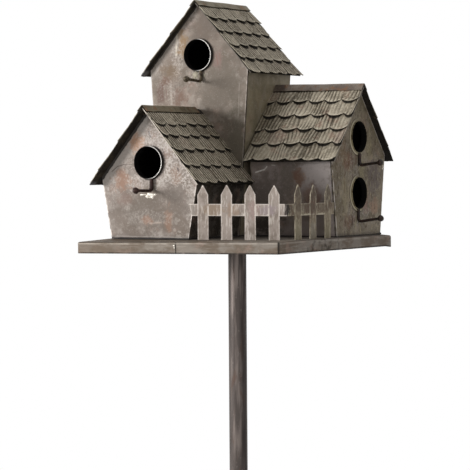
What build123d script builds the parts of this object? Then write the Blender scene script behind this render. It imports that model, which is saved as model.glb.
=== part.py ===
from build123d import *
import math
import os

# A triple birdhouse of soldered sheet metal on a folded tray, carried by a round pole.
# Millimetres, +Z up. The origin is the centre of the pole's open lower end.
# -Y is the side that the front house, the tower and the fence face, and +X is
# the side that the third house faces. Heights in the houses count from the tray's top.

# Sheet, tube and wire stock
WALL_SHEET = 1.0          # house walls
ROOF_SHEET = 0.8          # folded roof under the shingles
SHINGLE_SHEET = 0.7
CAP_SHEET = 0.8
TRAY_SHEET = 1.0
FENCE_SHEET = 1.0
COLLAR_SHEET = 0.8
PERCH_WIRE = 3.0          # diameter
POLE_DIAMETER = 19.0
POLE_WALL = 1.2

# Pole and its socket under the tray
POLE_LENGTH = 460.0
SOCKET_PLATE = 60.0       # side of the square plate
SOCKET_PLATE_SHEET = 2.0
SOCKET_WALL = 2.4         # wall of the sleeve round the pole
SOCKET_DEPTH = 9.0        # sleeve's length under its plate
POLE_FIT = 0.1            # radial, pole in its sleeve

# Tray
TRAY_WIDTH = 240.0
TRAY_DEPTH = 240.0
TRAY_LIP = 12.4           # full height, from the top down
TRAY_FOLD = 2.0           # outer radius of the folded edge
TRAY_CORNER = 0.4         # upright corners are rounder than the fold by this much
LAP_WIDTH = 6.0           # where the two ends of the lip overlap
LAP_SHEET = 0.5
LAP_X = 0.5               # right end of the overlap

# Entrance holes and perches
HOLE_RADIUS = 16.0        # clear way in
COLLAR_PROUD = 3.0        # how far the tube stands out of the wall
COLLAR_INSIDE = 4.0       # how far it runs into the house
COLLAR_FIT = 0.05         # radial, tube in its wall
PERCH_DROP = 12.5         # from the collar down to the rod
PERCH_REACH = 28.0        # from the wall to the ball's centre
PERCH_BEND = 3.5          # centre line radius of the bend
PERCH_BALL = 6.6          # diameter
PERCH_FIT = 0.05          # between wire and wall, and wire and collar

# Roofs: every slope carries the same rows of round-ended shingles
SLOPE = 105.0             # ridge to the lowest shingle, along the slope
ROWS = 5
ROW_PITCH = 19.5
ROW_OVERLAP = 6.0
ROW_LIFT = 1.9            # how far a row's lower edge stands off
TABS = 5.5                # shingles in a row, with a half one at alternate ends
TAB_ROUND = 3.2           # depth of a shingle's round end
EAVE_LAP = 3.5            # lowest row past the roof sheet
CAP_LEG = 9.0             # ridge cap, down each slope
CAP_FIT = 0.1             # ridge cap above the first row

# Front house: its gable faces -Y
FRONT_BASE = 93.4         # width on the tray
FRONT_FLARE = 10.4        # lean of its side walls, degrees
FRONT_PEAK = 132.9        # roof's underside at the ridge
FRONT_PITCH = 50.0
FRONT_DEPTH = 96.0
FRONT_VERGE = 12.3        # roof past the gable
FRONT_HOLE = 78.0         # centre of the entrance
FRONT_MARGIN = 24.0       # gable back from the tray's front edge
ROW_MARGIN = 74.0         # ridge line of front house and tower from the tray's left edge

# Tower, straight behind the front house
TOWER_BASE = 96.2
TOWER_FLARE = 4.0
TOWER_PEAK = 245.5
TOWER_PITCH = 48.0
TOWER_DEPTH = 90.0
TOWER_VERGE = 7.3
TOWER_HOLE = 191.0

# Side house, at right angles against the tower: its gable faces +X
SIDE_BASE = 96.4
SIDE_FLARE = 7.5
SIDE_PEAK = 155.5
SIDE_PITCH = 50.0
SIDE_VERGE = 7.1
SIDE_UPPER_HOLE = 103.2
SIDE_LOWER_HOLE = 44.7
SIDE_MARGIN = 8.0         # gable back from the tray's right edge
SIDE_RIDGE_MARGIN = 59.5  # ridge line from the tray's rear edge
SIDE_STANDOFF = 2.0       # rear panel off the tower's flared wall, at the peak
SIDE_ROOF_REAR = 3.0      # roof past the rear panel
TOWER_FIT = 0.1           # side house's roof off the tower's wall

# Fence of two strips, from the front house round to the side house
RAIL_LOW = 24.0
RAIL_HIGH = 36.0
PICKET_WIDTH = 11.6
PICKET_SHOULDER = 45.0
PICKET_TIP = 55.0
FENCE_TAB = 4.5           # soldered end that lies on the front house
FENCE_MARGIN_X = 13.0     # fence corner from the tray's right edge
FENCE_MARGIN_Y = 38.0     # fence corner from the tray's front edge
FENCE_INSET = 2.0         # side strip's end back from the side gable
FENCE_FIT = 0.1           # between the two strips
FRONT_PICKETS = 4
FRONT_PICKET_ENDS = (10.5, 13.2)   # first and last picket from the strip's ends
SIDE_PICKETS = 3
SIDE_PICKET_ENDS = (21.0, 11.6)

DECK = POLE_LENGTH + TRAY_SHEET
ROW_LENGTH = ROW_PITCH + ROW_OVERLAP
COLLAR_RADIUS = HOLE_RADIUS + COLLAR_SHEET


class House:
    """Outer form of one house. Across is its local X, front its local -Y."""

    def __init__(self, name, place, turn, base_half, flare, peak, pitch, depth, front_over, back_over, holes):
        self.name = name
        self.place = Pos(place[0], place[1], DECK) * Rot(0, 0, turn)
        self.base_half = base_half
        self.flare = math.radians(flare)
        self.peak = peak
        self.pitch = math.radians(pitch)
        self.depth = depth
        self.front_over = front_over
        self.back_over = back_over
        self.holes = holes

    def shoulder(self, base_half):
        """Where a flared wall line from base_half on the tray meets the roof's underside."""
        rise = math.tan(self.pitch)
        height = (self.peak - base_half * rise) / (1 + rise * math.tan(self.flare))
        return base_half + height * math.tan(self.flare), height

    def half_at(self, height):
        """Half the width between the outer faces of the flared walls."""
        return self.base_half + height * math.tan(self.flare)

    def outline(self, spare=0.0):
        """Gable outline in the XZ plane, widened by spare at its walls."""
        half = self.base_half + spare
        x, z = self.shoulder(half)
        return Plane.XZ * Polygon((-half, 0), (half, 0), (x, z), (0, self.peak), (-x, z), align=None)


ROW_X = ROW_MARGIN - TRAY_WIDTH / 2
FRONT_Y = FRONT_MARGIN - TRAY_DEPTH / 2
TOWER_Y = FRONT_Y + FRONT_DEPTH
SIDE_X = TRAY_WIDTH / 2 - SIDE_MARGIN
SIDE_Y = TRAY_DEPTH / 2 - SIDE_RIDGE_MARGIN

front_house = House("front_house", (ROW_X, FRONT_Y), 0, FRONT_BASE / 2, FRONT_FLARE, FRONT_PEAK,
                    FRONT_PITCH, FRONT_DEPTH, FRONT_VERGE, 0.0, {"": FRONT_HOLE})
tower = House("tower", (ROW_X, TOWER_Y), 0, TOWER_BASE / 2, TOWER_FLARE, TOWER_PEAK,
              TOWER_PITCH, TOWER_DEPTH, TOWER_VERGE, TOWER_VERGE, {"": TOWER_HOLE})
side_depth = SIDE_X - (ROW_X + tower.half_at(SIDE_PEAK) + SIDE_STANDOFF)
side_house = House("side_house", (SIDE_X, SIDE_Y), 90, SIDE_BASE / 2, SIDE_FLARE, SIDE_PEAK,
                   SIDE_PITCH, side_depth, SIDE_VERGE, SIDE_ROOF_REAR,
                   {"_upper": SIDE_UPPER_HOLE, "_lower": SIDE_LOWER_HOLE})


def gable_wall(house, with_holes):
    """Flat panel with its outer face on y = 0, bored for the collars."""
    panel = extrude(house.outline(), amount=-WALL_SHEET)
    if with_holes:
        for height in house.holes.values():
            drill = Cylinder(COLLAR_RADIUS + COLLAR_FIT, 4 * WALL_SHEET)
            panel -= Pos(0, 0, height) * Rot(90, 0, 0) * drill
    return panel


def side_wall(house):
    """Right-hand flared wall, from the front panel's back to the rear panel."""
    outer = house.base_half
    inner = outer - WALL_SHEET / math.cos(house.flare)
    section = Polygon((inner, 0), (outer, 0), house.shoulder(outer), house.shoulder(inner), align=None)
    return Pos(0, WALL_SHEET, 0) * extrude(Plane.XZ * section, amount=-(house.depth - 2 * WALL_SHEET))


def folded_strip(house, standoff, sheet, leg):
    """Sheet folded along the ridge: standoff above the roof's underside, leg down each slope."""
    slant = Vector(math.cos(house.pitch), -math.sin(house.pitch))
    lift = Vector(math.sin(house.pitch), math.cos(house.pitch))
    low = slant * leg + lift * standoff
    high = low + lift * sheet
    under = house.peak + standoff / math.cos(house.pitch)
    over = under + sheet / math.cos(house.pitch)
    right = [(low.X, house.peak + low.Y), (high.X, house.peak + high.Y)]
    left = [(-x, z) for x, z in reversed(right)]
    section = Polygon((0, under), *right, (0, over), *left, align=None)
    length = house.front_over + house.depth + house.back_over
    return Pos(0, -house.front_over, 0) * extrude(Plane.XZ * section, amount=-length)


def shingle_row(length, half_first):
    """One strip: its upper edge on x = 0, its lower edge cut in round tabs along y."""
    width = length / TABS
    radius = (width ** 2 / 4 + TAB_ROUND ** 2) / (2 * TAB_ROUND)
    start = -width / 2 if half_first else 0.0

    def edge(y, middle):
        return ROW_LENGTH - radius + math.sqrt(radius ** 2 - (y - middle) ** 2)

    arcs = []
    while start < length - 0.01 * width:
        low, high = max(start, 0.0), min(start + width, length)
        middle = start + width / 2
        stops = [(edge(y, middle), y) for y in (low, (low + high) / 2, high)]
        arcs.append(ThreePointArc(*stops))
        start += width
    rest = Polyline(arcs[-1] @ 1, (0, length), (0, 0), arcs[0] @ 0)
    return extrude(make_face(arcs + rest.edges()), amount=SHINGLE_SHEET)


def shingle_slope(house):
    """Right-hand slope: rows seated on the roof sheet at their upper edge, each over the next."""
    slant = Vector(math.cos(house.pitch), 0, -math.sin(house.pitch))
    lift = Vector(math.sin(house.pitch), 0, math.cos(house.pitch))
    tilt = math.asin(ROW_LIFT / ROW_LENGTH)
    down = slant * math.cos(tilt) + lift * math.sin(tilt)
    out = lift * math.cos(tilt) - slant * math.sin(tilt)
    length = house.front_over + house.depth + house.back_over
    rows = []
    for row in range(ROWS):
        top = SLOPE - ROW_PITCH * (ROWS - 1 - row) - ROW_LENGTH
        corner = Vector(0, -house.front_over, house.peak) + slant * top + lift * ROOF_SHEET
        seat = Plane(origin=corner, x_dir=down, z_dir=out)
        rows.append(seat * shingle_row(length, row % 2 == 1))
    return rows


def collar(height):
    """Short tube through the gable wall."""
    length = COLLAR_PROUD + WALL_SHEET + COLLAR_INSIDE
    tube = Cylinder(COLLAR_RADIUS, length, align=(Align.CENTER, Align.CENTER, Align.MIN))
    tube -= Cylinder(HOLE_RADIUS, 2 * length)
    return Pos(0, WALL_SHEET + COLLAR_INSIDE, height) * Rot(90, 0, 0) * tube


def perch(height):
    """Bent wire: down from the collar, then out from the wall to a ball."""
    wire = PERCH_WIRE / 2
    near = -(wire + PERCH_FIT)
    top = height - COLLAR_RADIUS - PERCH_FIT
    low = top - PERCH_DROP
    path = FilletPolyline((0, near, top), (0, near, low), (0, -PERCH_REACH, low), radius=PERCH_BEND)
    start = Plane(origin=(0, near, top), z_dir=(0, 0, -1))
    rod = sweep(start * Circle(wire), path=path)
    return rod + Pos(0, -PERCH_REACH, low) * Sphere(PERCH_BALL / 2)


def cap_standoff():
    """Ridge cap's underside above the roof's underside: clear of the first row at the cap's edge."""
    first_top = SLOPE - ROW_PITCH * (ROWS - 1) - ROW_LENGTH
    rise = (CAP_LEG - first_top) * ROW_LIFT / ROW_LENGTH
    return ROOF_SHEET + SHINGLE_SHEET + rise + CAP_FIT


def house_parts(house):
    """Every piece of one house, in the part's frame, by its node's name."""
    right_wall = side_wall(house)
    slope = shingle_slope(house)
    pieces = {
        "gable_wall": gable_wall(house, True),
        "back_wall": Pos(0, house.depth - WALL_SHEET, 0) * gable_wall(house, False),
        "right_wall": right_wall,
        "left_wall": mirror(right_wall, about=Plane.YZ),
        "roof": folded_strip(house, 0.0, ROOF_SHEET, SLOPE - EAVE_LAP),
        "ridge_cap": folded_strip(house, cap_standoff(), CAP_SHEET, CAP_LEG),
        "shingles_right": slope,
        "shingles_left": [mirror(row, about=Plane.YZ) for row in slope],
    }
    for which, height in house.holes.items():
        pieces["collar" + which] = collar(height)
        pieces["perch" + which] = perch(height)
    placed = {}
    for name, piece in pieces.items():
        solids = piece if isinstance(piece, list) else [piece]
        placed[house.name + "_" + name] = [house.place * solid for solid in solids]
    return placed


def pan(width, depth, height, fold, corner):
    """Block standing below z = 0, its top edges and upright corners rounded."""
    block = Box(width, depth, height, align=(Align.CENTER, Align.CENTER, Align.MAX))
    block = fillet(block.edges().filter_by(Axis.Z), corner)
    return fillet(block.faces().sort_by(Axis.Z)[-1].edges(), fold)


def tray():
    """Sheet with its edges folded down, and the overlap in the front lip."""
    body = pan(TRAY_WIDTH, TRAY_DEPTH, TRAY_LIP, TRAY_FOLD, TRAY_CORNER + TRAY_FOLD)
    hollow = pan(TRAY_WIDTH - 2 * TRAY_SHEET, TRAY_DEPTH - 2 * TRAY_SHEET, TRAY_LIP,
                 TRAY_FOLD - TRAY_SHEET, TRAY_CORNER + TRAY_FOLD - TRAY_SHEET)
    body -= Pos(0, 0, -TRAY_SHEET) * hollow
    lap = Box(LAP_WIDTH, LAP_SHEET + TRAY_SHEET / 2, TRAY_LIP - TRAY_FOLD,
              align=(Align.MAX, Align.MIN, Align.MIN))
    body += Pos(LAP_X, -TRAY_DEPTH / 2 - LAP_SHEET, -TRAY_LIP) * lap
    return Pos(0, 0, DECK) * body


def pole():
    """Round tube, open at its foot, its top against the tray's underside."""
    stand = (Align.CENTER, Align.CENTER, Align.MIN)
    tube = Cylinder(POLE_DIAMETER / 2, POLE_LENGTH, align=stand)
    return tube - Cylinder(POLE_DIAMETER / 2 - POLE_WALL, POLE_LENGTH, align=stand)


def pole_socket():
    """Square plate soldered under the tray, with the sleeve that takes the pole."""
    hang = (Align.CENTER, Align.CENTER, Align.MAX)
    bore = POLE_DIAMETER / 2 + POLE_FIT
    socket = Box(SOCKET_PLATE, SOCKET_PLATE, SOCKET_PLATE_SHEET, align=hang)
    socket += Cylinder(bore + SOCKET_WALL, SOCKET_PLATE_SHEET + SOCKET_DEPTH, align=hang)
    socket -= Cylinder(bore, 2 * (SOCKET_PLATE_SHEET + SOCKET_DEPTH))
    return Pos(0, 0, POLE_LENGTH) * socket


def picket_strip(start, end, count, ends):
    """Sheet cut as pointed pickets on one rail, its back face on the line start to end."""
    run = Vector(end[0] - start[0], end[1] - start[1])
    rail = Pos(0, RAIL_LOW) * Rectangle(run.length, RAIL_HIGH - RAIL_LOW, align=Align.MIN)
    half = PICKET_WIDTH / 2
    pitch = (run.length - sum(ends)) / (count - 1)
    for number in range(count):
        point = Polygon((-half, 0), (half, 0), (half, PICKET_SHOULDER), (0, PICKET_TIP),
                        (-half, PICKET_SHOULDER), align=None)
        rail += Pos(ends[0] + number * pitch, 0) * point
    face = Plane(origin=(start[0], start[1], DECK), x_dir=run, z_dir=(run.Y, -run.X, 0))
    return extrude(face * rail, amount=FENCE_SHEET)


FENCE_START = (ROW_X + front_house.half_at(RAIL_HIGH), FRONT_Y)
FENCE_CORNER = (TRAY_WIDTH / 2 - FENCE_MARGIN_X, FENCE_MARGIN_Y - TRAY_DEPTH / 2)
FENCE_END = (SIDE_X - FENCE_INSET, SIDE_Y - side_house.half_at(RAIL_HIGH))


def fence_front():
    """Front strip with its soldered tab on the front house's gable wall."""
    strip = picket_strip(FENCE_START, FENCE_CORNER, FRONT_PICKETS, FRONT_PICKET_ENDS)
    tab = Box(FENCE_TAB + FENCE_SHEET, FENCE_SHEET, RAIL_HIGH - RAIL_LOW,
              align=(Align.MIN, Align.MAX, Align.MIN))
    return strip + Pos(FENCE_START[0] - FENCE_TAB, FENCE_START[1], DECK + RAIL_LOW) * tab


def fence_side():
    """Side strip, from behind the front one's end to the side house."""
    start = (FENCE_CORNER[0] - FENCE_SHEET, FENCE_CORNER[1] + FENCE_FIT)
    return picket_strip(start, FENCE_END, SIDE_PICKETS, SIDE_PICKET_ENDS)


def trimmed(pieces, cutter):
    """Pieces cut back to the tower's wall, without crumbs."""
    kept = []
    for piece in pieces:
        kept.append((piece - cutter).solids().sort_by(SortBy.VOLUME)[-1])
    return kept


parts = {"tray": [tray()], "pole": [pole()], "pole_socket": [pole_socket()],
         "fence_front": [fence_front()], "fence_side": [fence_side()]}
for house in (front_house, tower, side_house):
    parts.update(house_parts(house))

# The side house's roof ends against the tower's flared wall
tower_block = tower.place * extrude(tower.outline(TOWER_FIT), amount=-tower.depth)
for name in ("roof", "ridge_cap", "shingles_left", "shingles_right"):
    node = side_house.name + "_" + name
    parts[node] = trimmed(parts[node], tower_block)

os.makedirs("parts", exist_ok=True)
for name, solids in parts.items():
    shape = solids[0] if len(solids) == 1 else Compound(children=solids)
    export_step(shape, "parts/" + name + ".step")
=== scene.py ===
import math

import bpy
import numpy as np
from mathutils import Matrix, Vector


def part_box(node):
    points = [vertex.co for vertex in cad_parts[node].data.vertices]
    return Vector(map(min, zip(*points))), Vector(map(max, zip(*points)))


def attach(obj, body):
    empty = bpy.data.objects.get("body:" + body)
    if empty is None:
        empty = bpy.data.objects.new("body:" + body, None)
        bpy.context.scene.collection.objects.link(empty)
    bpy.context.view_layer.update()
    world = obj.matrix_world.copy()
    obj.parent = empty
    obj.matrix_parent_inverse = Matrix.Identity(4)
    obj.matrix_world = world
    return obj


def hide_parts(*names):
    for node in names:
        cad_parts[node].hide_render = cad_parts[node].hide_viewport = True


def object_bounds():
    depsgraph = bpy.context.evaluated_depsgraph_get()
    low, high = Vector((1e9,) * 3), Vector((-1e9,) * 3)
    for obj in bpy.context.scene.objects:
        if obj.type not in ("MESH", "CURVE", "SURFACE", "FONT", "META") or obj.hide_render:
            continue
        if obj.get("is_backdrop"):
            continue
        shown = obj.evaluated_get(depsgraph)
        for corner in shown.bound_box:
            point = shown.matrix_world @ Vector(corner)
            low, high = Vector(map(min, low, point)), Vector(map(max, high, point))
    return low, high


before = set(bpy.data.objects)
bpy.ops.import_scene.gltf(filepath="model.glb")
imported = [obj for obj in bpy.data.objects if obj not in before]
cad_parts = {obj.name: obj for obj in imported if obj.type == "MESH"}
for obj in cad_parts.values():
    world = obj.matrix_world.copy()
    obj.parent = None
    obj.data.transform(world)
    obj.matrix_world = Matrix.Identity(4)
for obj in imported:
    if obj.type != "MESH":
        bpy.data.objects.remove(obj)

cad_box = [list(corner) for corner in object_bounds()]
MM = 0.001

# The view. A long lens stands two metres off and 31 degrees round to the right of the fronts,
# a hand's breadth above the tray, and leans over by a fraction of a degree.
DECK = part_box("tray")[1].z                # the tray's top
TURN = math.radians(31.17)
RISE = math.radians(1.87)
ROLL = math.radians(-0.39)
DISTANCE = 2.2175                         # from the lens to the tray's middle, along the view
LENS_PIXELS = 2120.0
PICTURE = 470.0                           # side of the square picture in pixels
TRAY_MIDDLE = np.array([237.10, 236.55])  # pixel at which the tray's middle shows
SENSOR = 36.0

back = np.array([math.sin(TURN) * math.cos(RISE), -math.cos(TURN) * math.cos(RISE), math.sin(RISE)])
level = np.array([math.cos(TURN), math.sin(TURN), 0.0])
upright = np.cross(back, level)
right = math.cos(ROLL) * level + math.sin(ROLL) * upright
up = math.cos(ROLL) * upright - math.sin(ROLL) * level
aside, below = (TRAY_MIDDLE - PICTURE / 2) * DISTANCE / LENS_PIXELS
eye = np.array([0, 0, DECK]) + back * DISTANCE - right * aside + up * below

lens = bpy.data.cameras.new("view")
lens.sensor_width = SENSOR
lens.lens = LENS_PIXELS / PICTURE * SENSOR
view = bpy.data.objects.new("view", lens)
view.matrix_world = Matrix(np.vstack([np.column_stack([right, up, back, eye]), [0, 0, 0, 1]]).tolist())
bpy.context.scene.collection.objects.link(view)
bpy.context.scene.camera = view
bpy.context.scene.view_settings.view_transform = "Standard"


# The studio. The pole's foot stands on a pale floor with white all round, one wide lamp stands low
# and far to the left of the fronts, and two weaker ones stand to the right and hang overhead.
AMBIENT = 0.20                # light from the surroundings
LAMPS = {                     # degrees round from the fronts and up, metres from the tray, width, level
    "key": (-48, 10, 2.4, 0.75, 0.92), "fill": (48, 16, 2.6, 1.6, 0.15)}
OVERHEAD = (-0.15, 0.25, 1.5)     # over the tray's middle
OVERHEAD_SIZE = 0.7
OVERHEAD_LEVEL = 0.42
FLOOR_HALF = 9.0
FLOOR_GAP = 0.3 * MM              # under the pole's open end
FLOOR_SHADE_REACH = (0.35, 0.9)   # the floor's shading fades into white between these radii
FLOOR_TONES = (0.80, 0.80, 0.79, 1), (0.84, 0.84, 0.83, 1)
PURE_WHITE = (1, 1, 1, 1)


class Flow:
    """A socket in a node tree that takes part in Python sums: each sum adds its Math node."""

    def __init__(self, tree, socket=None):
        self.tree = tree
        self.socket = socket

    def node(self, kind, sockets=(), output=0, **settings):
        """Adds a node: its settings first, then its sockets' values or links. Returns one output."""
        made = self.tree.nodes.new("ShaderNode" + kind)
        for name, value in settings.items():
            setattr(made, name, value)
        for key, value in dict(sockets).items():
            if isinstance(value, Flow):
                self.tree.links.new(value.socket, made.inputs[key])
            else:
                made.inputs[key].default_value = value
        return Flow(self.tree, made.outputs[output] if made.outputs else None)

    def out(self, name):
        """Another output of the same node."""
        return Flow(self.tree, self.socket.node.outputs[name])

    def math(self, operation, *values):
        return self.node("Math", dict(enumerate((self,) + values)), operation=operation)

    def vector(self, operation, *other):
        """Vector maths with another vector. A length or a dot product gives a plain value."""
        output = "Value" if operation in ("LENGTH", "DOT_PRODUCT") else 0
        return self.node("VectorMath", dict(enumerate((self,) + other)), output, operation=operation)

    def __add__(self, other):
        return self.math("ADD", other)

    def __sub__(self, other):
        return self.math("SUBTRACT", other)

    def __rsub__(self, other):
        return self.node("Math", {0: other, 1: self}, operation="SUBTRACT")

    def __mul__(self, other):
        return self.math("MULTIPLY", other)

    def ramp(self, low, high):
        """Smooth rise from 0 at low to 1 at high; it falls where high is the lower one."""
        return self.node("MapRange", {"Value": self, "From Min": low, "From Max": high},
                         interpolation_type="SMOOTHSTEP")

    def toward(self, colour, mask):
        """This colour, gone over to another one where mask is 1."""
        return self.node("Mix", {0: mask, 6: self, 7: colour}, output=2, data_type="RGBA")


def rgb(red, green, blue):
    """A colour as a screen shows it, 0 to 255, in the renderer's linear values."""
    def linear(value):
        value /= 255
        return value / 12.92 if value <= 0.04045 else ((value + 0.055) / 1.055) ** 2.4
    return linear(red), linear(green), linear(blue), 1.0


def background_rays(flow):
    """1 for rays that look at the surroundings, straight, mirrored or through glass."""
    path = flow.node("LightPath", output="Is Camera Ray")
    return path.math("MAXIMUM", path.out("Is Glossy Ray")).math("MAXIMUM", path.out("Is Transmission Ray"))


def add_lamp(name, away, size, level):
    """Square lamp, away from the tray's middle and aimed at it. Its power gives level there: the share of
    its colour that a face square to the lamp sends back."""
    data = bpy.data.lights.new(name, "AREA")
    data.shape = "SQUARE"
    data.size = size
    data.energy = level * math.pi ** 2 * float(away @ away)
    lamp = bpy.data.objects.new(name, data)
    beam = away / np.linalg.norm(away)
    side = np.cross((0, 1, 0) if abs(beam[2]) > 0.9 else (0, 0, 1), beam)
    side /= np.linalg.norm(side)
    axes = np.column_stack([side, np.cross(beam, side), beam, away + (0, 0, DECK)])
    lamp.matrix_world = Matrix(np.vstack([axes, [0, 0, 0, 1]]).tolist())
    bpy.context.scene.collection.objects.link(lamp)


world = bpy.data.worlds.new("surroundings")
bpy.context.scene.world = world
world.use_nodes = True
world.node_tree.nodes.clear()
sky = Flow(world.node_tree)
dim = sky.node("Background", {"Color": PURE_WHITE, "Strength": AMBIENT})
white = sky.node("Background", {"Color": PURE_WHITE, "Strength": 1.0})
sky.node("OutputWorld", {"Surface": sky.node("MixShader", {0: background_rays(sky), 1: dim, 2: white})})

floor_paint = bpy.data.materials.new("floor_paint")
floor_paint.use_nodes = True
floor_paint.node_tree.nodes.clear()
ground = Flow(floor_paint.node_tree)
floor_place = ground.node("TexCoord", output="Object")
grain = ground.node("TexNoise", {"Vector": floor_place, "Scale": 14.0, "Detail": 4.0})
pale = ground.node("Mix", {0: grain, 6: FLOOR_TONES[0], 7: FLOOR_TONES[1]}, output=2, data_type="RGBA")
matt = ground.node("BsdfDiffuse", {"Color": pale})
glow = ground.node("Emission", {"Color": PURE_WHITE, "Strength": 1.0})
faded = floor_place.vector("LENGTH").ramp(*FLOOR_SHADE_REACH) * 0.45 + 0.55
ground.node("OutputMaterial", {
    "Surface": ground.node("MixShader", {0: background_rays(ground) * faded, 1: matt, 2: glow})})

floor_mesh = bpy.data.meshes.new("floor")
floor_points = FLOOR_HALF * np.array([(-1, -1, 0), (1, -1, 0), (1, 1, 0), (-1, 1, 0)]) - (0, 0, FLOOR_GAP)
floor_mesh.from_pydata(floor_points.tolist(), [], [(0, 1, 2, 3)])
floor_mesh.materials.append(floor_paint)
floor = bpy.data.objects.new("floor", floor_mesh)
bpy.context.scene.collection.objects.link(floor)
floor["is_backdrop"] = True

for name, (turn, rise, distance, size, level) in LAMPS.items():
    turn, rise = math.radians(turn), math.radians(rise)
    way = np.array([math.sin(turn) * math.cos(rise), -math.cos(turn) * math.cos(rise), math.sin(rise)])
    add_lamp(name, distance * way, size, level)
add_lamp("overhead", np.array(OVERHEAD), OVERHEAD_SIZE, OVERHEAD_LEVEL)


# The tray. One square of tinned sheet with its edges folded down; the ends of the fold lap over each
# other in the front and are soldered. The sheet is dull, with brown bloom and a few brighter rubs.
TRAY_GREY = rgb(120, 111, 101)
TRAY_BROWN = rgb(106, 93, 80)
TRAY_PINK = rgb(140, 119, 106)
TRAY_PALE = rgb(160, 151, 140)
TRAY_DARK = rgb(86, 78, 70)
TRAY_SOOT_AND_SHADE = rgb(36, 31, 27)
TRAY_LEFT = rgb(106, 92, 78)
TRAY_TOP = rgb(78, 69, 58)
YARD_DIRT_AND_SHADE = rgb(44, 38, 31)


class Finish:
    """One finish while it is built up: coats are laid over each other, each by its mask."""

    def __init__(self, name, colour, rough, metal=0.0):
        self.material = bpy.data.materials.new(name)
        self.material.use_nodes = True
        self.material.node_tree.nodes.clear()
        self.flow = Flow(self.material.node_tree)
        self.place = self.flow.node("TexCoord", output="Object")
        axes = self.flow.node("SeparateXYZ", {0: self.place})
        self.x, self.y, self.z = axes, axes.out(1), axes.out(2)
        self.colour = self.flow.node("Mix", {0: 0.0, 6: colour, 7: colour}, output=2, data_type="RGBA")
        self.rough, self.metal, self.height = rough, metal, 0.0

    def noise(self, size, seed, detail=4.0, stretch=(1, 1, 1), roughness=0.55):
        """Cloudy value about 0.5 with blots of the given size; stretch draws them out along an axis."""
        place = self.place.vector("MULTIPLY", [1 / (size * s) for s in stretch])
        place = place.vector("ADD", (seed * 7.3, seed * 3.1, seed * 5.7))
        return self.flow.node("TexNoise", {"Vector": place, "Scale": 1.0, "Detail": detail,
                                           "Roughness": roughness})

    def coat(self, mask, colour, rough, metal=None):
        """Lays a colour over what is there, with its roughness and metal."""
        self.colour = self.colour.toward(colour, mask)
        self.rough = mask * (rough - self.rough) + self.rough
        if metal is not None:
            self.metal = mask * (metal - self.metal) + self.metal

    def cloud(self, size, seed, low, high, colour, rough, metal=None, strength=1.0, **grain):
        """A coat in cloudy patches about size millimetres wide: none below low, full strength above high."""
        self.coat(self.noise(size * MM, seed, **grain).ramp(low, high) * strength, colour, rough, metal)

    def blot(self, flat, middle, half, ragged, soft=0.6):
        """1 inside an uneven oval, 0 outside it. middle and half are its place and half size in
        millimetres on the plane whose two measures flat carries; ragged is a value about 0."""
        off = flat.vector("SUBTRACT", (middle[0] * MM, middle[1] * MM, 0))
        span = off.vector("MULTIPLY", (1 / (half[0] * MM), 1 / (half[1] * MM), 0)).vector("LENGTH")
        return (span + ragged * 2.4).ramp(1.15, 1.15 - soft)

    def scratch(self, flat, start, end, half):
        """1 on a straight scratch from start to end, in millimetres on the plane that flat carries. It is
        the distance from the nearest point of the line, set against the scratch's half width."""
        run = np.subtract(end, start)
        off = flat.vector("SUBTRACT", (start[0] * MM, start[1] * MM, 0))
        along = off.vector("DOT_PRODUCT", (*(run / (run @ run) / MM), 0))
        along = along.math("MAXIMUM", 0.0).math("MINIMUM", 1.0)
        foot = self.flow.node("CombineXYZ", {0: along * (run[0] * MM), 1: along * (run[1] * MM)})
        return off.vector("SUBTRACT", foot).vector("LENGTH").ramp(half * MM, 0.4 * half * MM)

    def mark(self, name):
        """A value that the mesh carries at each point."""
        return self.flow.node("Attribute", output="Fac", attribute_name=name)

    def shader(self, specular=0.3):
        """Joins the coats to the shader and returns the material."""
        sockets = {"Base Color": self.colour, "Roughness": self.rough, "Metallic": self.metal,
                   "Specular IOR Level": specular}
        if isinstance(self.height, Flow):
            sockets["Normal"] = self.flow.node("Bump", {"Height": self.height, "Distance": 1.0,
                                                        "Strength": 1.0})
        surface = self.flow.node("BsdfPrincipled", sockets)
        self.flow.node("OutputMaterial", {"Surface": surface})
        return self.material


def dress(node, material):
    """Gives a CAD node its finish."""
    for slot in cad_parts[node].material_slots:
        slot.material = material


def corners(node):
    """A CAD node's lowest and highest corner."""
    return np.array([list(corner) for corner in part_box(node)])


def part(value, low, high):
    """Straight rise from 0 at low to 1 at high, and no further."""
    return np.clip((value - low) / (high - low), 0, 1)


def ripple(seed, *axes):
    """Smooth uneven value between about -1 and 1: five sine waves along mixed axes, added up."""
    rng = np.random.default_rng(seed)
    total = 0.0
    for _ in range(5):
        turns = rng.uniform(0.6, 1.9, len(axes)) * rng.choice((-1, 1), len(axes))
        phase = sum(turn * axis for turn, axis in zip(turns, axes))
        total = total + np.sin(phase + rng.uniform(0, 2 * math.pi))
    return total / 3


def lattice(rows, columns, start=0, wrap=False):
    """Quads of a grid of rows by columns points; wrap joins the last column to the first."""
    index = start + np.arange(rows * columns).reshape(rows, columns)
    if wrap:
        index = np.concatenate([index, index[:, :1]], axis=1)
    return np.stack([index[:-1, :-1], index[1:, :-1], index[1:, 1:], index[:-1, 1:]], -1).reshape(-1, 4)


def plate(upper, lower):
    """Closed plate between two grids of points of the same size: two faces and the rim round them."""
    rows, columns = upper.shape[:2]
    count = rows * columns
    index = np.arange(count).reshape(rows, columns)
    rim = np.concatenate([index[0, :-1], index[:-1, -1], index[-1, :0:-1], index[:0:-1, 0]])
    ahead = np.roll(rim, -1)
    sides = np.stack([rim, ahead, ahead + count, rim + count], -1)
    faces = np.concatenate([lattice(rows, columns), lattice(rows, columns, count)[:, ::-1], sides])
    return np.concatenate([upper.reshape(-1, 3), lower.reshape(-1, 3)]), [faces]


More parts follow.
